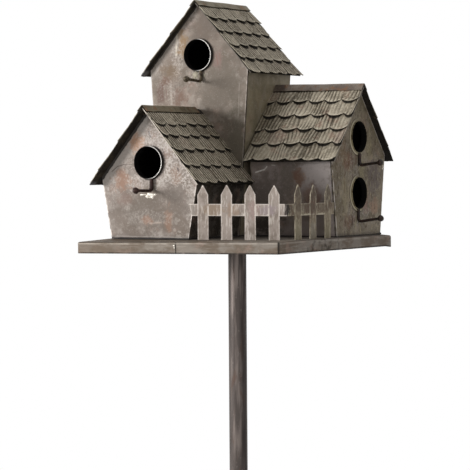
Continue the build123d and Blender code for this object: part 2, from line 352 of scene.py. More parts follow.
def outwards(points, faces):
    """The faces, all turned round if the closed shell's volume comes out negative."""
    volume = 0.0
    for group in faces:
        for corner in range(1, group.shape[1] - 1):
            a, b, c = points[group[:, 0]], points[group[:, corner]], points[group[:, corner + 1]]
            volume += np.einsum("ij,ij->i", a, np.cross(b, c)).sum()
    return faces if volume > 0 else [group[:, ::-1] for group in faces]


def make_piece(name, shells, material, replaces=(), maps=(), marks=()):
    """One object from closed shells (points, face groups). maps holds each shell's map coordinates, marks
    each shell's attribute values by name."""
    points, faces, start = [], [], 0
    for shell_points, shell_faces in shells:
        for group in outwards(shell_points, shell_faces):
            faces.extend((group + start).tolist())
        points.append(shell_points)
        start += len(shell_points)
    mesh = bpy.data.meshes.new(name)
    mesh.from_pydata(np.concatenate(points).tolist(), [], faces)
    mesh.polygons.foreach_set("use_smooth", [True] * len(faces))
    mesh.set_sharp_from_angle(angle=CRISP_ANGLE)
    if maps:
        corner_points = np.empty(len(mesh.loops), int)
        mesh.loops.foreach_get("vertex_index", corner_points)
        layer = mesh.uv_layers.new(name="sheet")
        layer.data.foreach_set("uv", np.concatenate(maps)[corner_points].ravel())
    for mark_name, values in dict(marks).items():
        attribute = mesh.attributes.new(mark_name, "FLOAT", "POINT")
        attribute.data.foreach_set("value", np.concatenate(values))
    mesh.materials.append(material)
    made = bpy.data.objects.new(name, mesh)
    bpy.context.scene.collection.objects.link(made)
    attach(made, "root")
    if replaces:
        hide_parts(*replaces)


def tube(rings):
    """Closed shell through rings of points (rings, points round, 3), its ends closed by fans."""
    count, around = rings.shape[:2]
    walls = lattice(count, around, wrap=True)
    ring = np.arange(around)
    ends = count * around
    caps = [np.stack([np.roll(ring, -1) + start, ring + start, np.full(around, tip)], -1)[:, ::way]
            for start, tip, way in ((0, ends, -1), (ends - around, ends + 1, 1))]
    points = np.concatenate([rings.reshape(-1, 3), rings[[0, -1]].mean(axis=1)])
    return points, [walls, np.concatenate(caps)]


CRISP_ANGLE = math.radians(40)            # sharper edges aren't shaded round
TRAY_HALF = float(corners("tray")[1, 0])
TRAY_FOLD = 2.0 * MM          # outer radius of the folded edge
TRAY_CORNER = 2.4 * MM        # radius of the upright corners
TRAY_LIP = 12.4 * MM
TRAY_HEM = 0.55 * MM          # radius of the turned lower edge
TRAY_WAVER = 0.22 * MM
WAVER_SIZE = 38.0 * MM        # along the edge
LIP_TAPER = 0.06              # share of its height that the lip loses towards the left
LAP = (-5.5 * MM, 0.5 * MM)   # the overlap's ends along the front
LAP_SHEET = 0.5 * MM
FRONT_SAG = 3.3 * MM          # how far the left front corner hangs down
SAG_REACH = 105.0 * MM        # along the left edge
REAR_SAG = 1.3 * MM           # the right rear corner, over its last millimetres
REAR_REACH = 14.0 * MM
HOUSE_LINE = -93.0 * MM       # the front house's front and left feet hold the sheet up from here on
HELD_SAG = 0.15               # share of the sag that is left there
TOP_RINGS = np.array([118, 100, 80, 60, 46, 36, 28, 22, 17, 13, 10, 7, 5, 3.4, 2.25]) * MM   # from the edge
LIP_RINGS = np.array([2.6, 3.4, 4.6, 6.4, 8.4, 10.4, 11.5]) * MM      # down from the top
UNDER_RINGS = np.array([(1.0, 11.0), (1.0, 2.0), (1.3, 1.3), (2.0, 1.0), (118, 1.0)]) * MM   # both ways
FOLD_STEPS = np.radians(np.arange(12, 91, 13))
HEM_STEPS = np.radians(np.arange(20, 181, 20))
# Soot and painted shade lie on the top's edge and the start of the fold, and round the lip's turned lower
# edge.
EDGE_SOOT_SHADE = (0.4, 0.9, 1.0, 0.5)          # on the last ring of the top and the next ones
EDGE_WEAR = (0.6, 1.0, 1.0, 0.5)          # where the fold meets the lip
HEM_SOOT_SHADE = 8                              # rings


def tray_outline():
    """Points and outward normals round the tray: four sides, each ending in a quarter circle."""
    straight = TRAY_HALF - TRAY_CORNER
    side = np.unique(np.concatenate([np.linspace(-straight, straight, 81), np.array(LAP) - 0.05 * MM,
                                     np.array(LAP) + 0.05 * MM]))
    turn = np.linspace(0, math.pi / 2, 7)[1:-1]
    points, normals = [], []
    for quarter in range(4):
        c, s = (0, 1, 0, -1)[quarter], (-1, 0, 1, 0)[quarter]
        frame_axes = np.array([[-s, c], [c, s]])          # along the side and out of it
        along = np.concatenate([side, straight + TRAY_CORNER * np.sin(turn)])
        out = np.concatenate([np.full(len(side), TRAY_HALF), straight + TRAY_CORNER * np.cos(turn)])
        lean = np.concatenate([np.zeros(len(side)), turn])
        points.append(np.stack([along, out], -1) @ frame_axes)
        normals.append(np.stack([np.sin(lean), np.cos(lean)], -1) @ frame_axes)
    return np.concatenate(points), np.concatenate(normals)


def tray_skin():
    """Rings of one closed sheet: out along the top, over the fold's quarter circle, down the lip, round the
    half circle of its lower edge and back underneath. The left front corner sags by the product of two
    straight falls, the lip wavers inwards, and its lap stands proud."""
    outline, normals = tray_outline()
    inset = np.concatenate([TOP_RINGS, TRAY_FOLD * (1 - np.sin(FOLD_STEPS)), 0 * LIP_RINGS,
                            TRAY_HEM * (1 - np.cos(HEM_STEPS)), UNDER_RINGS[:, 0]])
    height = np.concatenate([0 * TOP_RINGS, TRAY_FOLD * (np.cos(FOLD_STEPS) - 1), -LIP_RINGS,
                             TRAY_HEM - TRAY_LIP - TRAY_HEM * np.sin(HEM_STEPS), -UNDER_RINGS[:, 1]])
    fold_end = len(TOP_RINGS) + len(FOLD_STEPS)
    lip_end = fold_end + len(LIP_RINGS)
    mark, worn = np.zeros((2, len(inset)))
    mark[len(TOP_RINGS) - 1:][:len(EDGE_SOOT_SHADE)] = EDGE_SOOT_SHADE
    mark[lip_end - 1:][:HEM_SOOT_SHADE] = 1.0
    worn[fold_end - 3:][:len(EDGE_WEAR)] = EDGE_WEAR
    near = np.minimum(inset, TRAY_CORNER - 0.15 * MM)
    shrink = (TRAY_HALF - inset) / (TRAY_HALF - near)
    plan = (outline[None] - normals[None] * near[:, None, None]) * shrink[:, None, None]
    x, y = plan[..., 0], plan[..., 1]
    z = np.broadcast_to(height[:, None], x.shape)
    on_lip = part(z, 0, -4 * MM) * (inset[:, None] < 1.5 * MM)
    waver = ripple(600, x / WAVER_SIZE, y / WAVER_SIZE, z / (20 * MM))
    waver = on_lip * TRAY_WAVER * (1 + waver)
    lap = (x > LAP[0]) & (x < LAP[1]) & (y < -TRAY_HALF + 3 * MM) & (z < -TRAY_FOLD)
    lap = lap & (inset[:, None] < 0.9 * MM)
    plan = plan - normals[None] * waver[..., None] + normals[None] * (lap * LAP_SHEET)[..., None]
    leftwards = part(x, TRAY_HALF, -TRAY_HALF)
    forwards = part(y, SAG_REACH - TRAY_HALF, -TRAY_HALF)
    outside = part(np.minimum(x, y), HOUSE_LINE, -TRAY_HALF)
    rear = part(x, TRAY_HALF - REAR_REACH, TRAY_HALF) * part(y, TRAY_HALF - REAR_REACH, TRAY_HALF)
    sag = FRONT_SAG * leftwards * forwards * (HELD_SAG + (1 - HELD_SAG) * outside) + REAR_SAG * rear
    rings = np.concatenate([plan, (DECK + z * (1 - LIP_TAPER * leftwards) - sag)[..., None]], -1)
    points, faces = tube(rings)
    ends = [[0.0], [0.0]]
    return (points, faces), [np.concatenate([np.repeat(row, len(outline))] + ends) for row in (mark, worn)]


tray_sheet = Finish("tray_sheet", TRAY_GREY, 0.55, 0.25)
tray_sheet.coat(tray_sheet.noise(30 * MM, 1, stretch=(1, 1, 0.5)).ramp(0.44, 0.60), TRAY_BROWN, 0.7)
tray_sheet.cloud(18, 2, 0.54, 0.68, TRAY_PINK, 0.75, 0.05, strength=0.7)
tray_sheet.cloud(1.6, 3, 0.54, 0.66, TRAY_PALE, 0.45, strength=0.3, detail=5, stretch=(14, 14, 1))
tray_sheet.cloud(1.5, 7, 0.56, 0.70, TRAY_DARK, 0.7, strength=0.4, detail=5, stretch=(12, 12, 1))
tray_sheet.cloud(3, 8, 0.58, 0.70, TRAY_PALE, 0.45, strength=0.3, detail=6, roughness=0.7)
tray_sheet.coat(tray_sheet.x.ramp(10 * MM, -110 * MM) * 0.5, TRAY_LEFT, 0.65)
tray_sheet.cloud(1.8, 4, 0.66, 0.76, TRAY_SOOT_AND_SHADE, 0.8, strength=0.8)
worn = tray_sheet.mark("worn") * tray_sheet.noise(14 * MM, 9, 5).ramp(0.35, 0.60)
tray_sheet.coat(worn * 0.4, TRAY_PALE, 0.4, 0.3)
# Soot and painted shade along the fold and round the lip's turned lower edge.
soot_shade = tray_sheet.mark("soot_and_shade") * tray_sheet.noise(11 * MM, 10, 4).ramp(0.28, 0.50)
tray_sheet.coat(soot_shade * 0.85, TRAY_SOOT_AND_SHADE, 0.8, 0.0)
tray_sheet.coat((tray_sheet.z - (DECK - 0.9 * MM)).ramp(0, 0.5 * MM) * 0.6, TRAY_TOP, 0.8, 0.0)
# Dirt and painted shade darken the deck in the yard between the houses.
yard = tray_sheet.flow.node("CombineXYZ", {0: tray_sheet.x, 1: tray_sheet.y})
yard_edge = tray_sheet.noise(9 * MM, 12, 4) - 0.5
tray_sheet.coat(tray_sheet.blot(yard, (56, -34), (66, 56), yard_edge) * 0.75, YARD_DIRT_AND_SHADE, 0.85, 0.0)
front_lip = (tray_sheet.y + TRAY_HALF).ramp(1.6 * MM, 0.9 * MM)
near_end = (tray_sheet.x - (TRAY_HALF - 2.4 * MM)).ramp(0, 0.8 * MM)
lap_end = (tray_sheet.x - (LAP[1] + 0.1 * MM)).math("ABSOLUTE").ramp(0.8 * MM, 0.3 * MM)
tray_sheet.coat(front_lip * near_end.math("MAXIMUM", lap_end * 0.5) * 0.85, TRAY_SOOT_AND_SHADE, 0.8, 0.0)
tray_sheet.height = (tray_sheet.noise(50 * MM, 5, 2) * (1.2 * MM)
                     + tray_sheet.noise(1.2 * MM, 6, 3) * (0.06 * MM))
skin, (soot_shade_marks, worn_marks) = tray_skin()
make_piece("tray_pan", [skin], tray_sheet.shader(), ["tray"],
           marks={"soot_and_shade": [soot_shade_marks], "worn": [worn_marks]})


# The pole and its socket. The pole is a round steel tube, dark with age and smooth from the hand, with
# painted shade on its right side and along its left edge as the view sees it; the square plate with the
# sleeve that takes it is soldered up under the tray.
POLE_DARK = rgb(84, 76, 72)
POLE_LIGHT = rgb(128, 117, 111)
POLE_RUST = rgb(96, 74, 62)
POLE_WORN = rgb(150, 140, 132)
POLE_PAINTED_SHADE = rgb(44, 37, 34)
POLE_EDGE_PAINTED_SHADE = rgb(56, 50, 47)

pole_tube = Finish("pole_tube", POLE_DARK, 0.42, 0.45)
pole_tube.cloud(10, 11, 0.42, 0.62, POLE_LIGHT, 0.38, stretch=(0.5, 0.5, 6))
pole_tube.cloud(14, 12, 0.55, 0.70, POLE_RUST, 0.65, 0.1, strength=0.8, detail=5, stretch=(0.6, 0.6, 2.5))
pole_tube.cloud(2, 13, 0.62, 0.74, POLE_WORN, 0.35, strength=0.6, stretch=(1, 1, 2))
# Painted shade: the tube is darker towards its right side as the view sees it, and along its left edge.
across_the_view = pole_tube.x * math.cos(TURN) + pole_tube.y * math.sin(TURN)
streaky = pole_tube.noise(6 * MM, 15, 4, (1, 1, 8)).ramp(0.30, 0.60) * 0.5 + 0.5
pole_tube.coat(across_the_view.ramp(0.5 * MM, 5 * MM) * streaky * 0.85, POLE_PAINTED_SHADE, 0.6)
pole_tube.coat(across_the_view.ramp(-3.5 * MM, -8.5 * MM) * 0.7, POLE_EDGE_PAINTED_SHADE, 0.6)
pole_tube.height = pole_tube.noise(1.5 * MM, 14, 4, (1, 1, 4)) * (0.08 * MM)
pole_finish = pole_tube.shader()
dress("pole", pole_finish)
dress("pole_socket", pole_finish)


# The houses' walls. Every panel is flat tinned sheet, soldered at the corners and to the tray, and
# mottled by weather: white bloom, dusty pink and orange rust, brown runs and small black specks.
WALL_SHEET = 1.0 * MM


class House:
    """Where one house stands, read from its CAD nodes: across, inwards from its gable, and up."""

    def __init__(self, name, to_the_right, pitch, lean):
        self.name = name
        self.pitch = math.radians(pitch)
        self.lean = math.tan(math.radians(lean))
        axes = ([0.0, 1, 0], [-1.0, 0, 0]) if to_the_right else ([1.0, 0, 0], [0.0, 1, 0])
        self.across, self.inwards = np.array(axes)
        wall, roof, back_wall = (corners(name + piece) for piece in ("_gable_wall", "_roof", "_back_wall"))
        self.origin = np.where(self.inwards != 0, wall[int(to_the_right)], wall.mean(axis=0))
        self.origin[2] = DECK
        self.peak = wall[1, 2] - DECK
        self.verge, self.rear = sorted((roof - self.origin) @ self.inwards)
        self.depth = float(max((back_wall - self.origin) @ self.inwards))
        self.half = (wall[1] - wall[0]) @ self.across / 2
        self.foot = self.half - (self.peak - self.half * math.tan(self.pitch)) * self.lean

    def measures(self, finish):
        """How far a finish's point lies across, inwards and up from the foot of the gable's middle."""
        where = finish.place.vector("SUBTRACT", self.origin.tolist())
        across = where.vector("DOT_PRODUCT", self.across.tolist())
        return across, where.vector("DOT_PRODUCT", self.inwards.tolist()), finish.z - DECK

    def put(self, across, inwards, height):
        """Points of the frame from the house's own three measures, which may be arrays."""
        across, inwards, height = np.broadcast_arrays(across, inwards, height)
        return (self.origin + across[..., None] * self.across + inwards[..., None] * self.inwards
                + height[..., None] * np.array([0, 0, 1.0]))

    def on_slope(self, side, down, lift, inwards):
        """Points down the slope from the ridge and lift above the roof's underside; side is 1 or -1."""
        across = down * math.cos(self.pitch) + lift * math.sin(self.pitch)
        height = self.peak - down * math.sin(self.pitch) + lift * math.cos(self.pitch)
        return self.put(side * across, inwards, height)


front_house = House("front_house", False, 50, 10.4)
tower = House("tower", False, 48, 4)
side_house = House("side_house", True, 50, 7.5)

WALL_BROWN = rgb(122, 110, 100)
WALL_FROST = rgb(196, 187, 179)
WALL_SOOT_AND_SHADE = rgb(30, 26, 21)
WALL_BLOOM = rgb(190, 182, 173)
WALL_PINK = rgb(158, 132, 118)
WALL_SPECK = rgb(62, 60, 62)
WALL_BLOTCH = rgb(68, 54, 38)
WALL_OLIVE = rgb(156, 144, 116)
WALL_DIRT = rgb(70, 58, 42)
INSIDE_PAINTED_SHADE = rgb(16, 14, 11)
RIM_RADIUS = 17.0 * MM        # just outside a doorway's tube


def wall_finish(house, name, seed, tones, bloom, pink, marks=(), frosts=(), scratches=(), rims=(),
                lengthwise=False, seam=0.0, edge=0.0, streaks=0.35, grit=1.0, shade=None):
    """Weathered sheet. tones are its two greys; bloom, pink, streaks and grit say how much of each lies on
    it. Colours are as a screen shows them, places in millimetres: across, or along the house where
    lengthwise, and up. A mark is (place, height, half width, half height, colour, strength), a frost the
    same in fine white, with no colour. A scratch is (start, end, half width, colour, strength). A rim round
    a doorway's tube is (height, side, width, colour): painted shadow on the front house and the tower, dirt
    and solder on the side house. seam blackens the sheet's front end, edge rubs the gable's cut edges
    bright, and shade is how wide painted shade lies under the left slope and how much painted light lies
    beside it. The sheet is also painted dark as shade along its foot and on its inner faces."""
    first, second = (rgb(*tone) for tone in tones)
    finish = Finish(name, first, 0.58, 0.15)
    across, depth, height = house.measures(finish)
    finish.cloud(26, seed, 0.42, 0.60, second, 0.66, detail=5)
    finish.cloud(13, seed + 1, 0.50, 0.66, WALL_BLOOM, 0.5, strength=bloom, detail=6)
    finish.cloud(19, seed + 2, 0.54, 0.68, WALL_PINK, 0.75, 0.05, strength=pink, detail=5)
    flakes = finish.noise(15 * MM, seed + 14, 3, roughness=0.6)
    finish.coat(flakes.ramp(0.54, 0.565) * bloom, WALL_BLOOM, 0.5)
    finish.coat(flakes.ramp(0.455, 0.43) * (1.2 * bloom), second, 0.7)
    aside = across.math("ABSOLUTE")
    corner = height * house.lean + house.foot - aside
    slope = (height * -1 + house.peak) * math.cos(house.pitch) - aside * math.sin(house.pitch)
    # Painted light: the sheet is paler beside the left slope, against the overhang's shadow.
    if shade:
        pale = slope.ramp(15 * MM, 4 * MM) * across.ramp(2 * MM, -4 * MM) * shade[1]
        finish.coat(pale, WALL_FROST, 0.6)
    ragged = finish.noise(7 * MM, seed + 3, 6, roughness=0.65) - 0.5
    flat = finish.flow.node("CombineXYZ", {0: depth if lengthwise else across, 1: height})
    for x, z, half_x, half_z, colour, strength in marks:
        blot = finish.blot(flat, (x, z), (half_x, half_z), ragged, 0.8)
        finish.coat(blot * strength, rgb(*colour), 0.7, 0.05)
    grains = finish.noise(2.6 * MM, seed + 9, 6, roughness=0.75).ramp(0.42, 0.62) * 0.8
    for x, z, half_x, half_z, strength in frosts:
        blot = finish.blot(flat, (x, z), (half_x, half_z), ragged, 0.4)
        finish.coat(blot * grains * strength, WALL_FROST, 0.5)
    finish.cloud(4, seed + 4, 0.60, 0.74, WALL_BROWN, 0.7, strength=streaks, detail=5, stretch=(1, 1, 7))
    grit_pale = finish.noise(1.7 * MM, seed + 10, 5, roughness=0.7).ramp(0.56, 0.68)
    grit_dark = finish.noise(2.1 * MM, seed + 11, 5, roughness=0.7).ramp(0.56, 0.70)
    finish.coat(grit_pale * (0.30 * grit), WALL_FROST, 0.5)
    finish.coat(grit_dark * (0.35 * grit), second if grit <= 1 else WALL_DIRT, 0.7)
    if grit > 1:
        for number, drawn, low, high, colour, rough in ((15, 1.6, 0.53, 0.62, WALL_BLOTCH, 0.75),
                                                        (16, 1.4, 0.55, 0.64, WALL_OLIVE, 0.5)):
            blotches = finish.noise(5 * MM, seed + number, 5, (1, 1, drawn), 0.7)
            finish.coat(blotches.ramp(low, high) * (0.6 * grit - 0.3), colour, rough)
    finish.cloud(1.5, seed + 5, 0.68, 0.76, WALL_SPECK, 0.8, strength=0.8)
    broken = finish.noise(6 * MM, seed + 12, 5).ramp(0.34, 0.56)
    for start, end, half, colour, strength in scratches:
        line = finish.scratch(flat, start, end, half) * (broken * 0.6 + 0.4)
        finish.coat(line * strength, rgb(*colour), 0.6)
    if edge:
        rub = corner.math("MINIMUM", slope).ramp(1.3 * MM, 0.6 * MM) * depth.ramp(0.5 * MM, 0.1 * MM)
        finish.coat(rub * broken * edge, WALL_FROST, 0.4, 0.3)
    # Painted shade: a black band under the left slope, next to the roof's underside.
    if shade:
        under = slope + (broken - 0.5) * (0.6 * MM)
        under = under.ramp(shade[0] * MM + 0.8 * MM, shade[0] * MM)
        finish.coat(under * across.ramp(1 * MM, -3 * MM) * 0.92, WALL_SOOT_AND_SHADE, 0.85, 0.0)
    if seam:
        finish.coat(depth.ramp(2.6 * MM, 1.9 * MM) * (broken * 0.5 + 0.5) * seam, WALL_SOOT_AND_SHADE, 0.85, 0.0)
    # On the front house and the tower a rim is a painted shadow on the right of the tube.
    for middle, side, wide, colour in rims:
        upright = height - middle * MM
        ring = (across * across + upright * upright).math("SQRT")
        reach = RIM_RADIUS + wide * MM
        rim = ring.ramp(reach + 0.6 * MM, reach) * (across * side - upright * 0.35).ramp(-6 * MM, 6 * MM)
        finish.coat(rim * 0.9, rgb(*colour), 0.7, 0.0)
    # Painted shade at the foot: a black line where the sheet meets the tray, and the lowest millimetres
    # darker.
    foot = finish.noise(9 * MM, seed + 13, 4) * (1.6 * MM)
    finish.coat((height - foot).ramp(0.9 * MM, 0.2 * MM) * 0.92, WALL_SOOT_AND_SHADE, 0.85, 0.0)
    finish.coat(height.ramp(5 * MM, 0.6 * MM) * 0.35, WALL_SPECK, 0.8, 0.0)
    # Painted shade: the sheet's inner faces are near black, as inside a closed house.
    skin = (0.4 * WALL_SHEET, 0.8 * WALL_SHEET)
    inside = corner.ramp(*skin) * depth.ramp(*skin) * (house.depth - depth).ramp(*skin)
    finish.coat(inside, INSIDE_PAINTED_SHADE, 0.9, 0.0)
    finish.height = (finish.noise(42 * MM, seed + 6, 2) * (1.8 * MM)
                     + finish.noise(9 * MM, seed + 7, 3) * (0.14 * MM)
                     + finish.noise(0.9 * MM, seed + 8, 3) * (0.05 * MM))
    return finish.shader()


# Painted shadow round the right of the front house's and the tower's doorway tubes.
DOORWAY_PAINTED_SHADOW = (30, 26, 21)
dress("front_house_gable_wall", wall_finish(
    front_house, "front_house_front", 20, ((133, 122, 114), (122, 110, 100)), 0.30, 0.4, marks=(
        (-2, 30, 46, 26, (114, 103, 93), 0.9), (30, 44, 20, 22, (122, 111, 102), 0.7),
        (-16, 98, 12.5, 12, (184, 145, 119), 0.95), (-33.5, 61, 13, 13, (150, 120, 102), 0.95),
        # (-30, 83) is paler as painted light, against the shadow under the left slope.
        (-38, 16, 14, 12, (128, 116, 106), 0.8), (-30, 83, 9, 9, (178, 166, 156), 0.6),
        (33, 65, 9, 10, (142, 118, 102), 0.85), (22, 86, 8, 8, (142, 118, 106), 0.6),
        (-4, 19, 9, 6, (154, 120, 100), 0.7), (23, 20, 6, 14, (148, 118, 99), 0.75),
        (-30, 40, 12, 9, (136, 112, 101), 0.5)),
    frosts=((6, 102, 22, 22, 0.85), (34, 76, 20, 20, 0.95), (-18, 82, 22, 16, 0.6), (14, 62, 14, 12, 0.7),
            (-16, 58, 12, 10, 0.75), (48, 58, 9, 12, 0.95), (-46, 62, 9, 18, 0.5), (0, 22, 30, 8, 0.35)),
    scratches=(
        ((-46, 69), (-39, 74), 0.6, (96, 84, 76), 0.8), ((-39, 74), (-31, 76), 0.6, (96, 84, 76), 0.8),
        ((-31, 76), (-20, 76), 0.6, (96, 84, 76), 0.7), ((-40, 2.6), (39, 2.2), 0.7, (186, 176, 168), 0.7),
        ((0, 16), (14, 17), 1.1, (186, 168, 155), 0.45), ((0, 109), (2, 104), 1.0, (84, 84, 92), 0.8),
        ((34, 72), (36, 69), 0.9, (84, 78, 82), 0.8), ((16, 92), (18, 88), 0.8, (88, 80, 78), 0.7)),
    rims=((78.0, 1, 1.0, DOORWAY_PAINTED_SHADOW),), edge=0.9, shade=(2.6, 0.75)))
dress("tower_gable_wall", wall_finish(
    tower, "tower_front", 40, ((128, 116, 105), (116, 105, 94)), 0.15, 0.5, marks=(
        (28, 160, 34, 40, (114, 104, 93), 0.85), (8, 222, 24, 22, (112, 100, 90), 0.85),
        # (46, 90) darkens the lower right as painted shade beside the front house's roof.
        (46, 90, 16, 60, (100, 93, 80), 0.8), (-38, 160, 16, 34, (136, 121, 110), 0.75),
        (-20, 204, 8, 17, (148, 122, 92), 0.95), (-36, 174, 14, 11, (124, 106, 88), 0.95),
        (-42, 165, 8, 6, (114, 88, 74), 0.9), (-23, 148, 9, 12, (124, 101, 88), 0.95),
        (-48, 152, 6, 12, (108, 86, 76), 0.9), (24, 186, 7, 14, (146, 122, 114), 0.6)),
    frosts=((-26, 192, 8, 22, 0.6), (-30, 160, 16, 14, 0.25), (-48, 170, 6, 30, 0.3), (-2, 168, 14, 8, 0.4),
            (-36, 150, 6, 16, 0.4)),
    scratches=(
        ((-27, 214), (-28, 192), 1.6, (206, 196, 180), 0.8), ((22, 190), (24, 180), 0.7, (132, 96, 84), 0.7),
        ((26, 192), (27, 184), 0.5, (132, 96, 84), 0.6), ((-35, 158), (-34, 140), 1.8, (186, 174, 163), 0.4),
        ((-46, 160), (-45, 144), 1.0, (104, 76, 66), 0.7), ((-41, 156), (-40, 146), 0.6, (112, 80, 70), 0.6),
        ((48, 120), (50, 160), 0.6, (160, 148, 138), 0.5)),
    rims=((191.0, 1, 1.0, DOORWAY_PAINTED_SHADOW),), edge=0.35, shade=(1.4, 0.35)))
dress("side_house_gable_wall", wall_finish(
    side_house, "side_house_front", 60, ((128, 116, 97), (106, 95, 77)), 0.1, 0.3, marks=(
        (-24, 78, 13, 13, (120, 92, 74), 0.85), (34, 64, 17, 24, (99, 88, 83), 0.9),
        (35, 30, 12, 9, (172, 134, 110), 0.5), (-22, 17, 14, 9, (120, 92, 74), 0.6),
        (0, 140, 30, 18, (112, 103, 84), 0.85), (-36, 100, 10, 30, (118, 98, 74), 0.6),
        (6, 70, 8, 12, (150, 140, 108), 0.5), (30, 108, 14, 26, (112, 102, 82), 0.7),
        (-30, 40, 8, 22, (146, 134, 104), 0.5), (14, 34, 9, 12, (142, 108, 100), 0.7),
        (-12, 52, 5, 16, (88, 72, 54), 0.6), (-14, 86, 4, 14, (84, 60, 46), 0.6),
        (22, 92, 8, 14, (126, 116, 86), 0.6)),
    frosts=((-10, 66, 12, 22, 0.35), (0, 22, 26, 12, 0.45)),
    scratches=(
        ((5, 147.6), (56, 86.9), 0.8, (160, 150, 122), 0.8), ((-8, 4), (-6, 22), 2.0, (156, 144, 116), 0.6),
        ((3, 5), (1, 19), 1.4, (162, 150, 122), 0.6), ((-15, 13), (-14, 21), 2.2, (58, 40, 28), 0.8),
        ((-32, 46), (-30, 70), 1.6, (96, 74, 52), 0.5), ((-8, 88), (-7, 76), 2.4, (90, 60, 42), 0.6),
        ((-26, 30), (-20, 58), 0.7, (148, 138, 112), 0.6), ((6, 24), (8, 44), 0.6, (160, 150, 120), 0.7),
        ((-14, 60), (-13, 74), 1.0, (64, 42, 32), 0.7), ((-16, 80), (-15, 96), 0.7, (70, 48, 38), 0.6),
        ((10, 26), (4, 40), 0.5, (84, 72, 54), 0.6), ((34, 62), (36, 82), 0.6, (140, 132, 104), 0.5),
        ((18, 100), (34, 82), 0.6, (142, 132, 100), 0.5), ((-34, 60), (-33, 86), 0.6, (140, 130, 104), 0.4)),
    rims=[(middle, -1, wide, colour) for wide, colour in ((3.0, (66, 56, 42)), (1.8, (206, 196, 168)))
          for middle in (103.2, 44.7)], edge=1.0, streaks=0.8, grit=1.5))

YARD_MARKS = (
    # (90, 14) is painted shade low in the yard's far corner.
    (80, 38, 28, 36, (104, 93, 85), 0.7), (90, 14, 30, 14, (56, 50, 45), 0.8),
    (18, 68, 24, 34, (190, 180, 176), 0.9), (52, 62, 14, 28, (112, 103, 95), 0.6),
    (40, 61, 9, 10, (126, 96, 78), 0.85), (26, 42, 13, 16, (118, 92, 78), 0.8),
    (88, 78, 12, 14, (136, 126, 120), 0.6))
YARD_SCRATCHES = (
    ((91, 67), (80, 70), 1.0, (232, 228, 222), 1.0), ((81, 69), (77, 73), 0.9, (228, 222, 216), 1.0),
    ((71, 74.5), (67.5, 74), 0.9, (206, 198, 190), 0.8), ((49, 84), (42.5, 74), 0.6, (170, 160, 152), 0.6),
    ((88, 60), (86, 72), 0.5, (168, 160, 152), 0.5), ((34, 66), (31, 60), 0.8, (176, 150, 128), 0.6))
REAR_TONES = ((129, 118, 106), (110, 100, 88))
for house, to_the_yard, seed, tones, seam, marks, scratches in (
        # The front house's wall to the yard is dark: soot, and painted shade of the yard.
        (front_house, "right_wall", 80, ((70, 62, 52), (56, 50, 42)), 0.4, (), ()),
        (tower, "right_wall", 90, ((146, 135, 112), (126, 116, 95)), 1.0, (), ()),
        (side_house, "left_wall", 100, ((154, 142, 136), (130, 118, 110)), 0.9, YARD_MARKS, YARD_SCRATCHES)):
    seen = wall_finish(house, house.name + "_side", seed, tones, 0.1, 0.3, marks, scratches=scratches,
                       lengthwise=True, seam=seam)
    away = wall_finish(house, house.name + "_rear", seed + 300, REAR_TONES, 0.15, 0.35, lengthwise=True,
                       streaks=0.7, grit=1.2)
    for wall in ("back_wall", "left_wall", "right_wall"):
        dress(house.name + "_" + wall, seen if wall == to_the_yard else away)


# The roofs. Each is one sheet folded along the ridge and soldered on the walls, black underneath with
# dirt and rust in patches; its cut edge has been rubbed bright along the right-hand slope in front.
ROOF_BLACK = rgb(34, 30, 25)
ROOF_SOOT = rgb(24, 21, 18)
ROOF_DIRT = rgb(54, 48, 38)
ROOF_RUST = rgb(84, 68, 54)
ROOF_RUBBED = rgb(186, 176, 164)
ROOF_GREY = rgb(112, 112, 116)
EAVE_GREY_FROM = 61.0 * MM    # left of the gable's middle

for house, rubbed_side, rubbed, grey, dirt in (
        (front_house, 1, 0.95, 0.75, ROOF_DIRT), (tower, 1, 0.3, 0.6, ROOF_DIRT),
        (side_house, -1, 0.6, 0.0, ROOF_SOOT)):
    under = Finish(house.name + "_roof_sheet", ROOF_BLACK, 0.8)
    across, depth, _ = house.measures(under)
    verge = depth - house.verge
    under.cloud(12, 120, 0.45, 0.65, dirt, 0.8, detail=5)
    under.cloud(5, 121, 0.60, 0.72, ROOF_RUST, 0.85, strength=0.6, detail=5)
    cut_edge = verge.ramp(0.4 * MM, 0.1 * MM) * across.ramp(0, 2 * rubbed_side * MM)
    broken = under.noise(8 * MM, 123, 4).ramp(0.30, 0.50)
    under.coat(cut_edge * broken * rubbed, ROOF_RUBBED, 0.45, 0.2)
    eave = (across + EAVE_GREY_FROM).ramp(0, -4 * MM) * verge.ramp(12 * MM, 6 * MM)
    under.coat(eave * grey, ROOF_GREY, 0.5)
    under.height = under.noise(3 * MM, 122, 4) * (0.2 * MM)
    dress(house.name + "_roof", under.shader(0.15))


# The shingles. Each slope has five strips of thin sheet laid from the eave up, the lower edge of each
# cut into round-ended shingles. Rough grooves are pressed down every shingle, and the ends curl up.
ROWS = 5
ROW_ENDS = {                  # from the ridge to each row's lowest ends, in millimetres
    "front_house": (25.3, 40.5, 59.5, 80.8, 102.5), "tower": (27.0, 46.2, 65.8, 84.8, 104.0),
    "side_house": (23.8, 43.3, 62.2, 81.5, 103.0), "others": (27.0, 46.5, 66.0, 85.5, 104.3)}
ROW_LENGTH = 25.5 * MM
ROW_LIFT = 1.9 * MM
ROOF_SHEET = 0.8 * MM
SHINGLE_SHEET = 0.5 * MM
SHINGLE_BED = 0.12 * MM       # from the roof sheet to a strip's underside
TABS = 5.5                    # shingles in a row; every second row starts with half a one
TAB_ROUND = 4.3 * MM
VERGE_ROUND = 2.2 * MM        # each row's first shingle is cut off round at the verge
VERGE_REACH = 4.0 * MM
TAB_TRIM = 0.9 * MM           # most that a shingle falls short of its row
STRIP_STEPS = np.array([0, 9, 13, 17, 21, 25, 30, 36, 45, 56, 67, 77, 85, 91, 96, 100])[None] / 100
GROOVE_DEPTH = 0.6 * MM
